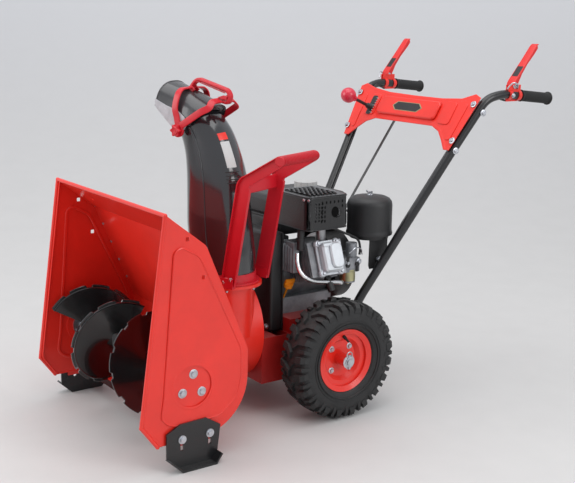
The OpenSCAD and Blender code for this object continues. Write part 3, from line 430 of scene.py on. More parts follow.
def build(name, shapes, mat, body, place=rig, sharp=32, stands_for=()):
    """Makes one piece of several shapes, puts it in place and lets it ride on its body."""
    verts, faces = [], []
    for points, polys in shapes:
        start = len(verts)
        verts += [place(*p) for p in points]
        faces += [tuple(start + i for i in f) for f in polys]
    piece = new_mesh(name, verts, faces, mat)
    mesh = bmesh.new()
    mesh.from_mesh(piece.data)
    bmesh.ops.remove_doubles(mesh, verts=mesh.verts, dist=0.000002)
    bmesh.ops.recalc_face_normals(mesh, faces=mesh.faces)
    mesh.to_mesh(piece.data)
    mesh.free()
    piece.data.polygons.foreach_set("use_smooth", [True] * len(piece.data.polygons))
    piece.data.set_sharp_from_angle(angle=radians(sharp))
    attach(piece, body)
    if stands_for:
        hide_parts(*stands_for)
    return piece


def soft(value, power):
    return (1 if value > 0 else -1) * abs(value) ** power


# ---------- Wheels ----------
TYRE_R = 165
TRACK = 238


def make_tyres():
    half = [(88.6, 38), (93, 44), (104, 49), (118, 51.3), (132, 50.5), (143, 47.5), (150, 42), (154, 33),
            (156, 18), (156.6, 0)]
    profile = [(r, -x) for r, x in half] + [(r, x) for r, x in reversed(half[:-1])]
    shapes = []
    pitch = 20

    def lug(side, x0, x1, a0, a1, width, low, high0, high1):
        """One tread block from x0 to x1 across the tyre, turning from angle a0 to a1."""
        points = []
        for x, a, top in ((x0, a0, high0), (x1, a1, high1)):
            for r, w in ((low, width), (top, width * 0.72)):
                for s in (-1, 1):
                    b = radians(a + s * w / 2)
                    points.append(Vector((side * TRACK + x, r * cos(b), TYRE_R + r * sin(b))))
        return points, [(0, 1, 3, 2), (4, 6, 7, 5), (0, 4, 5, 1), (2, 3, 7, 6), (0, 2, 6, 4), (1, 5, 7, 3)]

    for side in (-1, 1):
        shapes.append(lathe(profile, (side * TRACK, 0, TYRE_R), (1, 0, 0), 96, closed=True))
        for k in range(pitch):
            a = 360 * k / pitch
            for s in (-1, 1):
                b = a + (s > 0) * 180 / pitch
                shapes.append(lug(side, s * 2, s * 21, b + 6, b, 7.5, 152, 164.9, 164.6))
                shapes.append(lug(side, s * 21, s * 44, b, b - 1.5, 8.5, 148, 164.6, 161))
                shapes.append(lug(side, s * 43.5, s * 50.8, b - 1.5, b - 2, 8, 136, 161, 150))
                shapes.append(lug(side, s * 26, s * 48, b + 9, b + 8, 4.5, 146, 162, 157))
                shapes.append(lug(side, s * 47, s * 51.5, b + 8, b + 8, 4.5, 128, 156, 146))
        for r in (104, 112):
            ring = [(r - 1, -51.8), (r, -52.2), (r + 1, -51.8), (r + 1, 51.8), (r, 52.2), (r - 1, 51.8)]
            shapes.append(lathe(ring[:3] + ring[3:], (side * TRACK, 0, TYRE_R), (1, 0, 0), 96, closed=True))
    build("tyres_treaded", shapes, TYRE, "wheels", sharp=28, stands_for=["tyres"])


def make_wheel_trim():
    shapes = []
    for side in (-1, 1):
        for k in range(4):
            a = radians(45 + 90 * k)
            at = (side * (TRACK + 12.5), 43 * cos(a), TYRE_R + 43 * sin(a))
            shapes += bolt(at, (side, 0, 0), 6, 5)
    build("rim_bolts", shapes, ZINC, "wheels")
    stem = lathe([(0, 0), (4.5, 0), (4.5, 10), (3, 13), (3, 24), (0, 24)], (TRACK + 26, 0, TYRE_R + 66),
                 (0.9, 0, -0.4), 16)
    build("valve_stems", both(stem), RUBBER, "wheels")
    cap = lathe([(0, 0), (19, 0), (19, 1.5), (13, 3), (13, 6), (10.2, 6.5), (10.2, 0)],
                (TRACK + 50.2, 0, TYRE_R), (1, 0, 0), 32)
    build("hub_washers", both(cap), ZINC, "wheels")


make_tyres()
make_wheel_trim()

# ---------- Chute ----------
# Each station: height and depth of the front edge, then of the back edge, and the half width
STATIONS = [(388.4, -66, 388.4, 66, 66), (430, -72, 440, 66, 66), (470, -112, 480, 64, 66),
            (530, -124, 530, 58, 66), (600, -125, 600, 50, 64), (670, -126, 672, 38, 61),
            (718, -130, 740, 15, 58), (752, -138, 796, -14, 56), (776, -146, 842, -58, 56)]


def between(rows, f):
    """A row at a fraction f of the way through the rows, on a smooth curve."""
    t = f * (len(rows) - 1)
    k = min(int(t), len(rows) - 2)
    t -= k
    a, b, c, d = (rows[max(0, min(len(rows) - 1, k + j))] for j in (-1, 0, 1, 2))
    return [0.5 * (2 * q + t * (r - p) + t * t * (2 * p - 5 * q + 4 * r - s)
                   + t ** 3 * (3 * q - p - 3 * r + s)) for p, q, r, s in zip(a, b, c, d)]


def chute_point(f, angle, out=0.0):
    zf, yf, zb, yb, w = between(STATIONS, f)
    power = 1 - 0.2 * min(1, f * 5)
    c, m = soft(cos(angle), power), (1 + soft(sin(angle), power)) / 2
    depth = hypot(yb - yf, zb - zf)
    g = -out / depth
    share = g + m * (1 - 2 * g)
    return Vector(((w + out) * c, yf + (yb - yf) * share, zf + (zb - zf) * share))


def make_chute():
    n, rows = 96, 60
    verts = [chute_point(k / rows, tau * j / n + 1e-4) for k in range(rows + 1) for j in range(n)]
    verts += [chute_point(k / rows, tau * j / n + 1e-4, -3.0) for k in range(rows, -1, -1) for j in range(n)]
    total = 2 * (rows + 1)
    faces = [(k * n + j, k * n + (j + 1) % n, ((k + 1) % total) * n + (j + 1) % n, ((k + 1) % total) * n + j)
             for k in range(total) for j in range(n)]
    shapes = [(verts, faces)]
    # The halves meet in a raised seam down each side
    for angle in (0.0, pi):
        path = [chute_point(0.05 + 0.94 * k / 40, angle, 0.4) for k in range(41)]
        shapes.append(sweep(path, oblong(3.2, 7.5, 1.4), side=(1, 0, 0)))
    # A rolled rim round the mouth
    rim = [chute_point(1.0, tau * j / 64, 0.3) for j in range(64)]
    shapes.append(sweep(rim, circle(2.4, 10), closed=True))
    build("chute_shell", shapes, GLOSS_BLACK, "chute_body", chute, sharp=40, stands_for=["chute"])
    # Blank labels and vent ribs on its back
    for name, low, high, a0, a1, mat in (("label_band", 0.81, 0.85, 0.31, 0.46, RED),
                                         ("label_field", 0.67, 0.80, 0.31, 0.46, BLANK)):
        steps = 8
        grid = [chute_point(low + (high - low) * i / steps, pi * (a0 + (a1 - a0) * j / steps), 0.5)
                for i in range(steps + 1) for j in range(steps + 1)]
        quads = [(i * 9 + j, i * 9 + j + 1, i * 9 + j + 10,
                  i * 9 + j + 9) for i in range(steps) for j in range(steps)]
        build(name, [(grid, quads)], mat, "chute_body", chute)
    ribs = []
    for k in range(4):
        f = 0.60 + 0.017 * k
        path = [chute_point(f, pi * (0.27 + 0.2 * j / 8), 0.6) for j in range(9)]
        ribs.append(sweep(path, oblong(2.4, 3.0, 1.0), side=(0, 0, 1)))
    build("chute_ribs", ribs, SATIN_BLACK, "chute_body", chute)


make_chute()

# ---------- Deflector ----------
PIVOT = (-118, 787)
HOOD_HALF = 65.25
ARCHES = [(-84, 800, -40, 853), (-100, 806, -84, 872), (-146, 806, -134, 892), (-198, 846, -186, 909)]


def hood_point(f, g, t=0.0):
    """f runs from the hinge to the mouth, and g over the arch from side to side."""
    y0, z0, y1, z1 = between(ARCHES, f)
    c, m = soft(cos(pi * g), 0.8), soft(sin(pi * g), 0.8)
    return Vector(((HOOD_HALF - t) * c, y0 + (y1 - y0) * m, z0 + (z1 - t - z0) * m))


def make_deflector():
    n, rows = 64, 24
    outer = [hood_point(k / rows, j / n) for k in range(rows + 1) for j in range(n + 1)]
    inner = [hood_point(k / rows, j / n, 2.5) for k in range(rows + 1) for j in range(n + 1)]
    m, size = n + 1, (rows + 1) * (n + 1)
    faces = []
    for k in range(rows):
        for j in range(n):
            a, b, c, d = k * m + j, k * m + j + 1, (k + 1) * m + j + 1, (k + 1) * m + j
            faces += [(a, b, c, d), (size + d, size + c, size + b, size + a)]
    for k in range(rows):
        for j in (0, n):
            a, d = k * m + j, (k + 1) * m + j
            faces.append((a, d, size + d, size + a))
    for k in (0, rows):
        for j in range(n):
            a, b = k * m + j, k * m + j + 1
            faces.append((a, b, size + b, size + a))
    shapes = [(outer + inner, faces)]
    lip = [hood_point(1, j / n, 0.2) for j in range(n + 1)]
    shapes.append(sweep(lip, oblong(3.4, 3.4, 1.5)))
    build("hood_shell", shapes, HOOD, "deflector_body", chute, sharp=40, stands_for=["deflector"])
    # Pale flat sheets low on each side of the hood: a painted reflection of the pale floor on its glossy side
    reflection_outline = [(-198, 846), (-184, 832), (-132, 786), (-118, 774), (-106, 780), (-92, 800), (-98, 822),
            (-120, 838), (-160, 850), (-198, 866)]
    reflection_sheets = both(slab(reflection_outline, 1.6, (HOOD_HALF + 0.2, 0, 0), (0, 1, 0), (0, 0, 1), 0.5))
    build("hood_reflection_sheets", reflection_sheets, PALE_REFLECTION, "deflector_body", chute)


def make_deflector_frame():
    side = 69.5
    bands = []
    for foot, crown in (((-127, 846), (-126, 894)), ((-44, 838), (-24, 866))):
        start = (PIVOT[0] + 2, PIVOT[1] + 8)
        near = [(side, start[0], start[1]),
                (side, foot[0] * 0.5 + start[0] * 0.5, foot[1] * 0.5 + start[1] * 0.5),
                (side, foot[0], foot[1]), (side - 9, crown[0] + 1, crown[1] - 16),
                (side - 24, crown[0], crown[1] - 3),
                (side - 44, crown[0], crown[1])]
        path = smooth_path(near + [(-x, y, z) for x, y, z in reversed(near)], 6)
        bands.append(sweep(path, oblong(5.0, 18, 1.6), side=(1, 0, 0)))
    handle = bent_path([(0, -128, 893), (0, -114, 911), (0, -100, 918), (0, -6, 893), (0, 3, 878),
                        (0, -4, 860),
                        (0, -26, 864)], 7)
    bands.append(sweep(handle, oblong(17, 9, 3.2), side=(1, 0, 0)))
    rail = bent_path([(0, -120, 904), (0, -102, 911.5), (0, -12, 886)], 6)
    for x in (-5.6, 5.6):
        bands.append(tube([p + Vector((x, 0, 0)) for p in rail], 1.5, 8))
    for x in (-1, 1):
        bands += [slab([(-134, 895), (-118, 882), (-108, 890), (-120, 902)], 5, (x * 9 - 2.5, 0, 0),
                       (0, 1, 0), (0, 0, 1), 1),
                  slab([(-34, 874), (-6, 868), (0, 878), (-14, 880)], 5, (x * 9 - 2.5, 0, 0), (0, 1, 0),
                       (0, 0, 1), 1)]
    for s in (-1, 1):
        bands.append(lathe([(4.1, 0), (18, 0), (18, 5.5), (16.5, 7), (4.1, 7)], (s * 66, *PIVOT), (s, 0, 0),
                           40,
                           closed=True))
    build("hood_frame", bands, CRIMSON, "deflector_body", chute, stands_for=["deflector_frame"])


def make_knob(name, s, body, node):
    x = s * 73.4
    shapes = []
    steps = 72
    rim = [(14.2 + 2.6 * cos(6 * tau * k / steps), tau * k / steps) for k in range(steps)]
    outline = [(r * cos(a), r * sin(a)) for r, a in rim]
    shapes.append(slab(outline, 10, (x, *PIVOT) if s > 0 else (x - 10, *PIVOT), (0, 1, 0), (0, 0, 1), 1.5))
    rings = [(0, 11), (4, 11.6), (5, 10.6), (7.4, 10.8), (8.2, 12.2), (9.4, 12.2), (10.6, 10)]
    shapes.append(lathe(rings, (x, *PIVOT), (s, 0, 0), 32))
    build(name, shapes, CRIMSON, body, chute, stands_for=[node])
    stud = lathe([(0, 0), (4, 0), (4, 17), (0, 17)], (s * 56.6, *PIVOT), (s, 0, 0), 20)
    build(name + "_stud", [stud], ZINC, body, chute)


# Pale colour for the sheets that paint the floor's reflection on the hood's sides
PALE_REFLECTION = surface("painted_floor_reflection", (0.50, 0.51, 0.53), shade=0.75, rough=(0.18, 0.32), grain=70, patch=60)
make_deflector()
make_deflector_frame()
make_knob("hood_knob_left", 1, "knob_left", "deflector_knob_left")
make_knob("hood_knob_right", -1, "knob_right", "deflector_knob_right")

# ---------- Chute handle and ring ----------
def channel(path, width, depth=9.0, t=2.4):
    """A U-shaped arm along a path in a plane of constant x, its flanges turned out along +X."""
    def section(f):
        w = width(f)
        return [(0, -w / 2), (depth, -w / 2), (depth, t - w / 2), (t, t - w / 2), (t, w / 2 - t),
                (depth, w / 2 - t), (depth, w / 2), (0, w / 2)]
    return sweep(path, section)


def make_chute_handle():
    path = bent_path([(71, 52, 400), (71, 103, 672), (71, 213, 735)], 12)
    arm = channel(path, lambda f: 44 - 16 * f)
    shapes = both(arm)
    shapes += both(lathe([(9, 0), (13.5, 0), (13.5, 9), (12, 10.5), (9, 10.5)], (71, 48, 404), (1, 0, 0), 32,
                         closed=True))
    shapes.append(block((-72, 93, 640), (72, 100, 676), 1.2))
    shapes.append(block((-72, 88, 640), (72, 100, 643.5), 1.2))
    ribs = [(0, -80), (11.6, -80), (13.6, -78)]
    for k in range(26):
        x = -77 + 6 * k
        ribs += [(13.9, x), (14.2, x + 2.6), (11.6, x + 3.6), (11.6, x + 5)]
    ribs += [(13.6, 79), (11.6, 81), (0, 81)]
    shapes.append(moved(lathe(ribs, (0, 0, 0), (1, 0, 0), 40),
                        lambda p: Vector((p[0], 213 + p[1] * 1.15, 735 + p[2] * 0.95))))
    build("chute_handle_arms", shapes, CRIMSON, "chute_body", chute, stands_for=["chute_handle"])
    bolts, neck = [], []
    for x, y in ((-78, 40), (78, 40), (-78, 62), (78, 62)):
        bolts += bolt((x, y, 404 if y < 50 else 412), (1 if x > 0 else -1, 0, 0), 4.4, 4)
    for s in (-1, 1):
        bolts += bolt((s * 72, 28, 394), (0, 0, 1), 5.5, 5)
    build("chute_base_bolts", bolts, ZINC, "chute_body", chute)
    for a in range(30, 390, 60):
        neck += bolt((77 * cos(radians(a)), 77 * sin(radians(a)), 378), (0, 0, -1), 4.2, 4)
    build("neck_flange_bolts", neck, ZINC, "chassis", chute)
    build("chute_clip", [block((58, -24, 415), (68.5, 4, 432), 3)], SATIN_BLACK, "chute_body", chute)


# ---------- Handlebar, grips and levers ----------
def dash(x, up, out):
    """A point on the dash: across, up its slope and out of its front."""
    tilt = radians(90 - 31.8)
    return rig(x, 386 + up * cos(tilt) - out * sin(tilt), 717 + up * sin(tilt) + out * cos(tilt))


BAR = [(158, 118, 262), (160, 142, 300), (235, 403, 709), (266, 492, 847), (272, 520, 868), (276, 556, 870),
       (282, 739, 851)]


def make_handlebar():
    shapes = []
    path = bent_path(BAR[:3], 24) + bent_path([BAR[2], (267, 496, 856), (276, 556, 870), BAR[-1]], 60,
                                              12)[1:]
    shapes += both(tube(path, 12.7, 28))
    build("handlebar_tubes", shapes, BLACK_STEEL, "chassis", stands_for=["handlebar"])
    end, bend = Vector(BAR[-1]), Vector(BAR[-2])
    back = (bend - end).normalized()
    profile = [(12.8, 0), (19.3, 0.5), (19.5, 2), (19.3, 3.6), (16.2, 4.6)]
    x = 6.5
    while x < 108:
        profile += [(14.9, x), (16.1, x + 0.7), (16.1, x + 3.0), (14.9, x + 3.7)]
        x += 4.6
    profile += [(16.4, 112), (17.4, 113.5), (17.4, 117), (15.8, 118), (12.8, 118)]
    grips = both(lathe(profile, end, back, 40, closed=True))
    grips += both(lathe([(0, -1.8), (16, -1.8), (18.6, -0.4), (19.3, 0.6), (0, 0.6)], end, back, 40))
    build("ribbed_grips", grips, RUBBER, "chassis", stands_for=["grips"])


def make_brackets():
    bolts = []
    for y, z in ((118, 262), (142, 222), (76, 246)):
        for s in (-1, 1):
            bolts += bolt((s * (164 if y == 118 and z == 262 else 144), y, z), (s, 0, 0), 8, 6)
    for s in (-1, 1):
        bolts += bolt((s * 286.5, 592, 893), (s, 0, 0), 6, 5)
        bolts += bolt((s * 249, 403, 709 + 2), (s, -0.2, 0), 6.5, 5)
        bolts += bolt((s * 276, 478, 818), (s, -0.2, 0), 6.5, 5)
        bolts += bolt((s * 297.5, 574, 866), (s, 0, 0), 4.5, 4)
    build("handlebar_bolts", bolts, ZINC, "chassis")
    clamp = []
    for y in (576, 612):
        clamp += both(lathe([(12.9, -6), (15.2, -6), (15.2, 6), (12.9, 6)],
                            (276 + (y - 556) * 6 / 183, y, 870 - (y - 556) * 19 / 183), (0.03, 0.99, -0.1),
                            28,
                            closed=True))
    hook = both(tube(smooth_path([(288, 600, 884), (298, 590, 896), (297, 574, 902), (289, 566, 893),
                                  (286, 560, 884)]), 2.2, 8))
    build("lever_clamps", clamp, RED, "chassis")
    build("lever_hooks", hook, ZINC, "chassis")


def make_dash():
    edge = [(-236, -4), (-250, 80), (-264, 168), (-246, 175), (-200, 162), (-120, 152), (0, 149), (120, 149),
            (200, 155), (246, 173), (264, 168), (250, 80), (236, -4), (222, -2), (196, 26), (168, 52),
            (130, 67),
            (-130, 67), (-168, 52), (-196, 26), (-222, -2)]
    shapes = [slab(edge, 2.6, edge=0.8)]
    loop = [Vector((x, y, 1.2)) for x, y in edge]
    shapes.append(sweep(loop, oblong(3.4, 10, 1.4), closed=True, side=(0, 0, 1)))
    panel = oblong(262, 60, 12, 5)
    shapes.append(slab([(x, y + 109) for x, y in panel], 10, (0, 0, 2), edge=3.5))
    for s in (-1, 1):
        shapes.append(slab([(s * 170 + x, y + 108) for x, y in oblong(46, 74, 10, 4)], 3.4, (0, 0, 2),
                           edge=1.2))
        shapes.append(slab([(s * 222 + x * 0.9 + (y / 12) * s, y + 84) for x, y in oblong(22, 120, 8, 4)], 3,
                           (0, 0, 2), edge=1.2))
    build("dash_shell", shapes, RED, "chassis", dash, stands_for=["dash_panel"])
    lozenge = [(-62, 0), (-46, -13), (46, -13), (62, 0), (46, 13), (-46, 13)]
    rim = [(x * 1.07, y * 1.14 + 109) for x, y in lozenge]
    build("dash_badge_rim", [slab(rim, 0.8, (0, 0, 11.8), edge=0.3)], YELLOW_ZINC, "chassis", dash)
    build("dash_badge", [slab([(x, y + 109) for x, y in lozenge], 1.0, (0, 0, 12.1), edge=0.3)], SATIN_BLACK,
          "chassis", dash)
    plate = [slab([(-170 + x, y + 104) for x, y in oblong(22, 66, 6, 4)], 1.6, (0, 0, 5.2), edge=0.4)]
    build("gear_plate", plate, SATIN_BLACK, "chassis", dash)
    marks = [slab([(-157 + x, 78 + 8.5 * k + y) for x, y in oblong(6 + 5 * (k in (0, 3, 6)), 1.4, 0.5, 2)],
                  0.5,
                  (0, 0, 6.6)) for k in range(7)]
    build("gear_scale", marks, BLANK, "chassis", dash)
    bolts = []
    for s in (-1, 1):
        for up in (18, 138):
            bolts += bolt((s * (238 + up * 0.13), up + 6, 5), (0, 0, 1), 6.5, 5)
    build("dash_bolts", bolts, ZINC, "chassis", dash)


def tip(f, start=0.9):
    """How much of a blade's width is left towards its rounded end."""
    return 1 if f < start else max(0.35, sqrt(max(0, 1 - ((f - start) / (1 - start)) ** 2 * 0.88)))


def make_lever(name, s, body, node):
    a = radians(52)
    along, out = Vector((0, cos(a), sin(a))), Vector((0, -sin(a), cos(a)))
    hinge = Vector((s * 279.5, 592, 893))

    def place(x, d, h):
        return rig(*(hinge + Vector((s * x, 0, 0)) + along * d + out * h))

    top = [(-10, 3), (-6, 10), (4, 13.5), (40, 12.5), (90, 11), (130, 10.5), (141, 8), (144, 3)]
    low = [(144, -3), (139, -8), (120, -8), (80, -4), (44, -5), (24, -9), (6, -12), (-5, -10), (-10, -4)]
    outline = top + low
    shapes = [slab([(-y, x) for x, y in outline][::-1], 5.0, (-2.5, 0, 0), (0, 0, -1), (0, 1, 0), 1.2)]
    back = [Vector((0, x, y)) for x, y in smooth_list(top[1:])]
    shapes.append(sweep(back, lambda f: oblong((31 - 9 * f) * tip(f), 3.2, 1.4), side=(1, 0, 0)))
    build(name, shapes, RED_PLASTIC, body, place, stands_for=[node])
    label = [Vector((0, x, y + 1.7)) for x, y in smooth_list([(22, 13), (34, 12.6), (46, 12.3), (58, 12)])]
    build(name + "_label", [sweep(label, oblong(22, 0.8, 0.35), side=(1, 0, 0))], SATIN_BLACK, body, place)
    hub = [lathe([(0, -6), (7.5, -6), (7.5, 6), (0, 6)], (0, 0, 0), (1, 0, 0), 28)]
    build(name + "_hub", hub, ZINC, body, place)


def smooth_list(points):
    return [(p.x, p.y) for p in smooth_path([(x, y, 0) for x, y in points], 5)]


def make_gear_lever():
    pivot, knob = Vector((-170, 492, 774)), Vector((-170, 340, 842))
    axis = (pivot - knob).normalized()
    rod = [tube(bent_path([pivot, pivot.lerp(knob, 0.5), knob], 20), 5, 16),
           tube([pivot, pivot + Vector((0, 42, -6))], 4, 12),
           lathe([(0, -9), (9, -9), (9, 9), (0, 9)], pivot, (1, 0, 0), 24)]
    rings = [(5, 118), (13, 117)]
    for k in range(5):
        rings += [(14.5 - k * 1.4, 113 - k * 7), (10.5 - k * 1.1, 109.5 - k * 7)]
    rod.append(lathe(rings + [(5, 77)], knob, axis, 28))
    build("gear_lever_rod", rod, SATIN_BLACK, "shifter", stands_for=["gear_lever"])
    ball = [(0, -24)] + [(24 * sin(radians(a)), -24 * cos(radians(a))) for a in range(12, 156, 12)]
    ball += [(9.5, 23), (9, 30), (5, 31)]
    build("gear_knob", [lathe(ball, knob, axis, 40)], PINK_RED, "shifter")


# ---------- Engine ----------
def cyl(x, y, z):
    """A point in the tilted cylinder's frame, with z along its axis."""
    a = radians(90 - 20)
    return rig(x * cos(a) + z * sin(a), 2 + y, 368 - x * sin(a) + z * cos(a))


def make_engine():
    flange = slab(oblong(96, 76, 14, 4), 5.5, (0, 0, 194.4), edge=1.0)
    ears = [lathe([(0, 0), (10, 0), (10, 8), (8.5, 9.5), (0, 9.5)], (sx * 41, sy * 31, 194.4), (0, 0, 1), 24)
            for sx in (-1, 1) for sy in (-1, 1)]
    body = slab(oblong(82, 62, 12, 5), 24, (0, 0, 199), edge=5)
    panel = slab([(x - 2, y + 9) for x, y in oblong(70, 40, 15, 7)], 9.5, (0, 0, 221), edge=3.5)
    band = slab([(x - 34, y) for x, y in oblong(10, 60, 4, 3)], 5, (0, 0, 221), edge=1.5)
    build("rocker_casting", [flange, *ears, body, panel, band], SILVER, "chassis", cyl,
          stands_for=["rocker_cover"])
    bolts = []
    for sx in (-1, 1):
        for sy in (-1, 1):
            bolts += bolt((sx * 41, sy * 31, 204), (0, 0, 1), 5.5, 5)
    build("rocker_bolts", bolts, ZINC, "chassis", cyl)
    pipe = smooth_path([(158, -84, 452), (166, -89, 430), (176, -88, 408), (184, -72, 388), (188, -48, 376),
                        (190, -10, 369), (190, 36, 362), (182, 52, 358)])
    build("oil_pipe", [tube(pipe, 6.5, 16)], CHROME, "chassis")
    build("plug_boot", [tube(smooth_path([(160, -74, 516), (161, -76, 490), (160, -76, 462)]), 10, 20),
                        lathe([(10, 0), (12.5, 0), (12.5, 8), (10, 8)], (160.5, -76, 486), (0, 0, 1), 24,
                              closed=True)], SATIN_BLACK, "chassis")
    lead = smooth_path([(160, -74, 512), (150, -40, 516), (140, 30, 510), (150, 92, 486), (152, 130, 466),
                        (150, 142, 440), (150, 140, 420)])
    build("spark_lead", [tube(lead, 3.4, 12)], RUBBER, "chassis")
    # Cast fins down the front of the cylinder and the block
    fins = [block((86 + 9 * k, -100 + 2 * k, 396), (90 + 9 * k, -74, 478 - 3 * k), 1.2) for k in range(6)]
    fins.append(block((82, -86, 392), (142, -64, 478), 4))
    build("block_fins", fins, CAST, "chassis")
    shroud = [block((40, -110, 300), (84, -86, 470), 8, 3), block((-84, -92, 462), (44, -30, 476), 5)]
    build("engine_shroud", shroud, SATIN_BLACK, "chassis")
    bowl = [(0, -58.5), (6.5, -58.5), (6.5, -54), (17, -53), (22.6, -47), (22.6, -20), (24, -18), (24, -14),
            (0, -14)]
    build("carburetor_bowl", [lathe(bowl, (140, 106, 396), (0, 0, 1), 36)], YELLOW_ZINC, "chassis")
    link = [tube([(118, 78, 430), (118, 150, 424)], 2.2, 8),
            tube(smooth_path([(164, 92, 432), (168, 110, 446), (160, 136, 440), (150, 150, 420)]), 1.8, 8),
            *bolt((163, 128, 404), (1, 0, 0), 6, 5), *bolt((162, 88, 404), (1, 0, 0), 5, 4)]
    build("carburetor_links", link, ZINC, "chassis")
    drum = [(0, 460), (56, 460), (57, 469), (66.5, 470), (67.5, 475), (65.4, 481), (65, 487), (65, 556),
            (63, 566), (57, 574), (46, 579), (20, 582), (0, 582.5)]
    shapes = [lathe([(r, h) for r, h in drum], (118, 200, 0), (0, 0, 1), 72)]
    leg = [(150, 372), (146, 382), (148, 460), (214, 460), (212, 400), (206, 372)]
    shapes.append(slab([(y + 30, z) for y, z in leg], 5, (146, 0, 0), (0, 1, 0), (0, 0, 1), 1))
    build("cleaner_drum", shapes, SATIN_BLACK, "chassis", stands_for=["air_cleaner"])
    nut = [lathe([(0, 581), (8, 581), (8, 584), (5, 586), (5, 592), (0, 592)], (118, 200, 0), (0, 0, 1), 24)]
    for s in (-1, 1):
        nut.append(slab([(s * 2, 585), (s * 13, 590), (s * 14, 595), (s * 9, 596), (s * 2, 591)], 3,
                        (118, 198.5, 0), (1, 0, 0), (0, 0, 1), 0.6))
    nut += bolt((151.5, 210, 397), (1, 0, 0), 6.5, 5)
    build("cleaner_wing_nut", nut, ZINC, "chassis")
    tank = [block((-176, -62, 474), (34, 190, 526), 14, 4), block((-174, -60, 520), (32, 188, 582), 16, 4),
            block((-179, -65, 521), (37, 193, 526), 2)]
    tank.append(lathe([(24, 578), (24, 590), (21, 591), (20, 578)], (-60, 100, 0), (0, 0, 1), 36,
                      closed=True))
    build("tank_shell", tank, SATIN_BLACK, "chassis", stands_for=["fuel_tank"])
    cover = [block((-104, -134, 222.3), (104, -92.6, 500), 9, 3),
             block((-88, -134.6, 240), (88, -128, 480), 5, 2)]
    cover.append(block((-107, -97, 222.3), (107, -92.6, 502), 1.2))
    build("belt_guard", cover, SATIN_BLACK, "chassis", stands_for=["belt_cover"])
    foot = []
    for x in (-86, 86):
        foot += bolt((x, -134.4, 236), (0, -1, 0), 6, 5)
    build("belt_guard_bolts", foot, ZINC, "chassis")


def make_starter_cord():
    """The cord, inside the grip's neck at rest."""
    x, y, z = -70, 162, 432
    points, faces = tube([Vector((x, y + d, z)) for d in (-4, -2, 4, 14)], 2.2, 12)
    cord = new_mesh("starter_cord", [rig(*p) for p in points], faces, RUBBER)
    cord.data.polygons.foreach_set("use_smooth", [True] * len(cord.data.polygons))
    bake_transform(cord)


def make_shield():
    """Pressed louvres on top of the muffler's shield, its rolled rims, and near-black discs of painted shade where its
    holes are.
    """
    shapes = []
    for k in range(7):
        y = -62 + 14 * k
        wave = [Vector((66 + 12 * j, y + 3 * (j % 2), 613.6 + 1.4 * (j % 2))) for j in range(11)]
        shapes.append(sweep(smooth_path(wave, 4), oblong(6, 3, 1.4), side=(0, 1, 0)))
    corner = [(x + 124, y - 15) for x, y in oblong(161, 139, 18, 6)]
    for z in (521, 608):
        shapes.append(sweep([Vector((x, y, z)) for x, y in corner], circle(1.6, 8), closed=True,
                            side=(0, 0, 1)))
    build("shield_louvres", shapes, BLACK_STEEL, "chassis")
    # Near-black discs on the shield's face: painted shade for the dark inside of its holes
    hole_shade_discs = []
    spots = [(-36 + 13.5 * i, 594, 3.2) for i in range(6)] + [(-38 + 11 * i, 581 - 12.5 * j, 3.2)
                                                              for i in range(2) for j in range(4)] + [(31.5,
                                                                                                       581,
                                                                                                       3.2)]
    for y, z, r in spots:
        hole_shade_discs.append(slab([(y + r * 0.75 * cos(tau * k / 16),
                            z + r * 1.3 * sin(tau * k / 16)) for k in range(16)],
                          0.5, (203.9, 0, 0), (0, 1, 0), (0, 0, 1)))
    hole_shade_discs.append(slab([(7 + 12 * cos(tau * k / 32), 566 + 15 * sin(tau * k / 32)) for k in range(32)], 0.6,
                      (203.9, 0, 0), (0, 1, 0), (0, 0, 1)))
    build("shield_hole_shade", hole_shade_discs, HOLE_SHADE, "chassis")
    studs = []
    for x in (186, 198):
        studs += bolt((x, -84 + (x - 186) * 0.6, 604), (0.5, -1, 0), 4, 3, False)
    build("shield_screws", studs, ZINC, "chassis")


# ---------- Intake ----------
EMBOSS = [(-548, 540), (-529, 552), (-480, 525), (-362, 275), (-362, 200), (-379, 147), (-427, 112),
          (-562, 112),
          (-588, 135), (-579, 185)]
OUTLINE = [(-570, 631), (-461, 546), (-343, 272), (-343, 203)] + [
    (-478 + 135 * cos(radians(a)), 203 - 135 * sin(radians(a))) for a in range(10, 91, 10)] + [
    (-599, 68), (-641, 125)]
AUGER_R, TUBE_R, AUGER = 128, 19, (-501, 203)
# How far out the side plates' rib stands, and how far where a skid shoe slides over it
RIB_X, LOW_RIB_X, SHOE_REACH = 312.4, 311.1, 190


def helix_point(x, a, r):
    return Vector((x, AUGER[0] + r * cos(a), AUGER[1] + r * sin(a)))


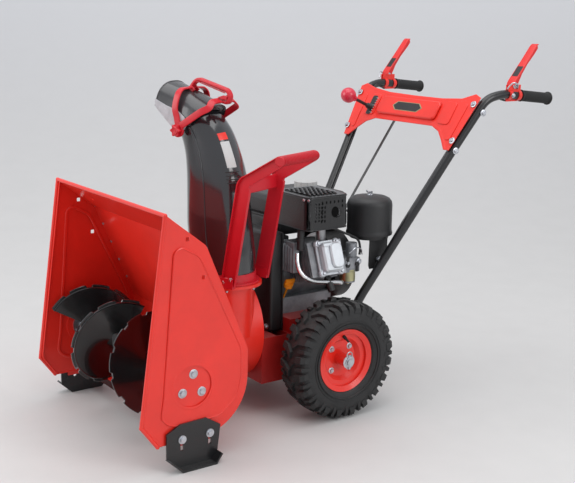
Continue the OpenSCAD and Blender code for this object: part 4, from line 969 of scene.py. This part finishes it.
def make_augers():
    x0, x1, turns, steps = 56, 289.5, 1.25, 300
    shapes = []
    for s in (-1, 1):
        ring, faces = [], []
        for k in range(steps + 1):
            f = k / steps
            a = tau * turns * f + radians(60)
            x = x0 + (x1 - x0) * f
            notch = (f * turns * 360 / 30) % 1 < 0.24
            r = AUGER_R - (7 if notch else 0)
            for dx, radius in ((-2, TUBE_R - 1), (2, TUBE_R - 1), (2, r - 1.2), (0.9, r), (-0.9, r),
                               (-2, r - 1.2)):
                ring.append(helix_point(s * (x + dx), a, radius))
        for k in range(steps):
            for j in range(6):
                a, b = k * 6 + j, k * 6 + (j + 1) % 6
                faces.append((a, b, b + 6, a + 6))
        faces += [tuple(range(6)), tuple(steps * 6 + j for j in reversed(range(6)))]
        shapes.append((ring, faces))
        lip = [helix_point(s * (x0 + (x1 - x0) * k / 120 - 3), tau * turns * k / 120 + radians(60),
                           AUGER_R - 9)
               for k in range(121)]
        shapes.append(sweep(lip, circle(2.6, 8)))
        shapes.append(lathe([(9.6, 38), (TUBE_R, 38), (TUBE_R, 295.5), (9.6, 295.5)], (0, *AUGER),
                            (s, 0, 0), 40,
                            closed=True))
        shapes.append(lathe([(TUBE_R, 36), (TUBE_R + 4, 37), (TUBE_R + 4, 60), (TUBE_R, 61)], (0, *AUGER),
                            (s, 0, 0), 40, closed=True))
    build("auger_screws", shapes, GLOSS_PAINT, "auger", sharp=30, stands_for=["auger_flights"])


def make_plate_pressings():
    """The rolled edges and pressed ribs of the side plates, inside and out."""
    shapes = []
    for s in (-1, 1):
        loop = [Vector((s * (LOW_RIB_X if z < SHOE_REACH else RIB_X), y, z)) for y, z in EMBOSS]
        shapes.append(sweep(bent_loop(loop, 16), circle(2.6, 10), closed=True))
        inner = [Vector((s * 307.4, y, z)) for y, z in EMBOSS]
        shapes.append(sweep(bent_loop(inner, 16), oblong(4, 9, 1.9), closed=True))
        shapes.append(lathe([(51.5, 3), (54, 0.2), (57.5, 0.2), (60, 3), (57, 3.6), (54.5, 3.6)],
                            (s * 310, *AUGER), (s, 0, 0), 64, closed=True))
        rim = [Vector((s * 307.9, y, z)) for y, z in OUTLINE]
        shapes.append(sweep(bent_loop(rim, 7), circle(2.4, 10), closed=True))
        fold = [Vector((s * 305.5, y, z)) for y, z in ((-567, 628), (-637, 127), (-597, 71))]
        shapes.append(sweep(bent_path(fold, 10), oblong(11, 4, 1.6)))
    top = [Vector((x, -570, 631)) for x in (-309, 309)]
    shapes.append(sweep(top, circle(5.2, 14), side=(0, 0, 1)))
    build("intake_pressings", shapes, RED, "chassis")
    bolts = []
    for s in (-1, 1):
        for a in (85, 205, 325):
            b = radians(a)
            bolts += bolt((s * 310.2, AUGER[0] + 31 * cos(b), AUGER[1] + 31 * sin(b)), (s, 0, 0), 8, 5.5)
        for k in range(5):
            z = 330 + 55 * k
            y = -343 - (z - 272) * (461 - 343) / (546 - 272) if z > 272 else -343
            bolts += bolt((s * 296, y - 3, z), (0, -1, -0.3), 4, 3, False)
    build("bearing_bolt_heads", bolts, ZINC, "chassis")


def bent_loop(points, radius, steps=5):
    """A closed loop with its corners rounded."""
    pts, out = [Vector(p) for p in points], []
    for k, b in enumerate(pts):
        a, c = pts[k - 1], pts[(k + 1) % len(pts)]
        cut = min(radius, (b - a).length * 0.45, (c - b).length * 0.45)
        start, end = b + (a - b).normalized() * cut, b + (c - b).normalized() * cut
        out += [(1 - t) ** 2 * start + 2 * t * (1 - t) * b + t * t * end for t in [j / steps for j in range(steps + 1)]]
    return out


# Near-black colour of the painted shade in the shield's holes
HOLE_SHADE = surface("painted_hole_shade", (0.003, 0.003, 0.003), shade=0.8, rough=(0.8, 0.9), grain=80, spec=0.1)
GLOSS_PAINT = surface("gloss_black_paint", (0.010, 0.010, 0.0105), shade=0.7, rough=(0.14, 0.26), coat=1.0,
                      grain=60, bump=0.03, patch=25)
make_augers()
make_plate_pressings()
make_starter_cord()
make_chute_handle()
make_handlebar()
make_brackets()
make_dash()
make_lever("clutch_lever_shell_left", 1, "lever_left", "clutch_lever_left")
make_lever("clutch_lever_shell_right", -1, "lever_right", "clutch_lever_right")
make_gear_lever()
make_engine()
make_shield()
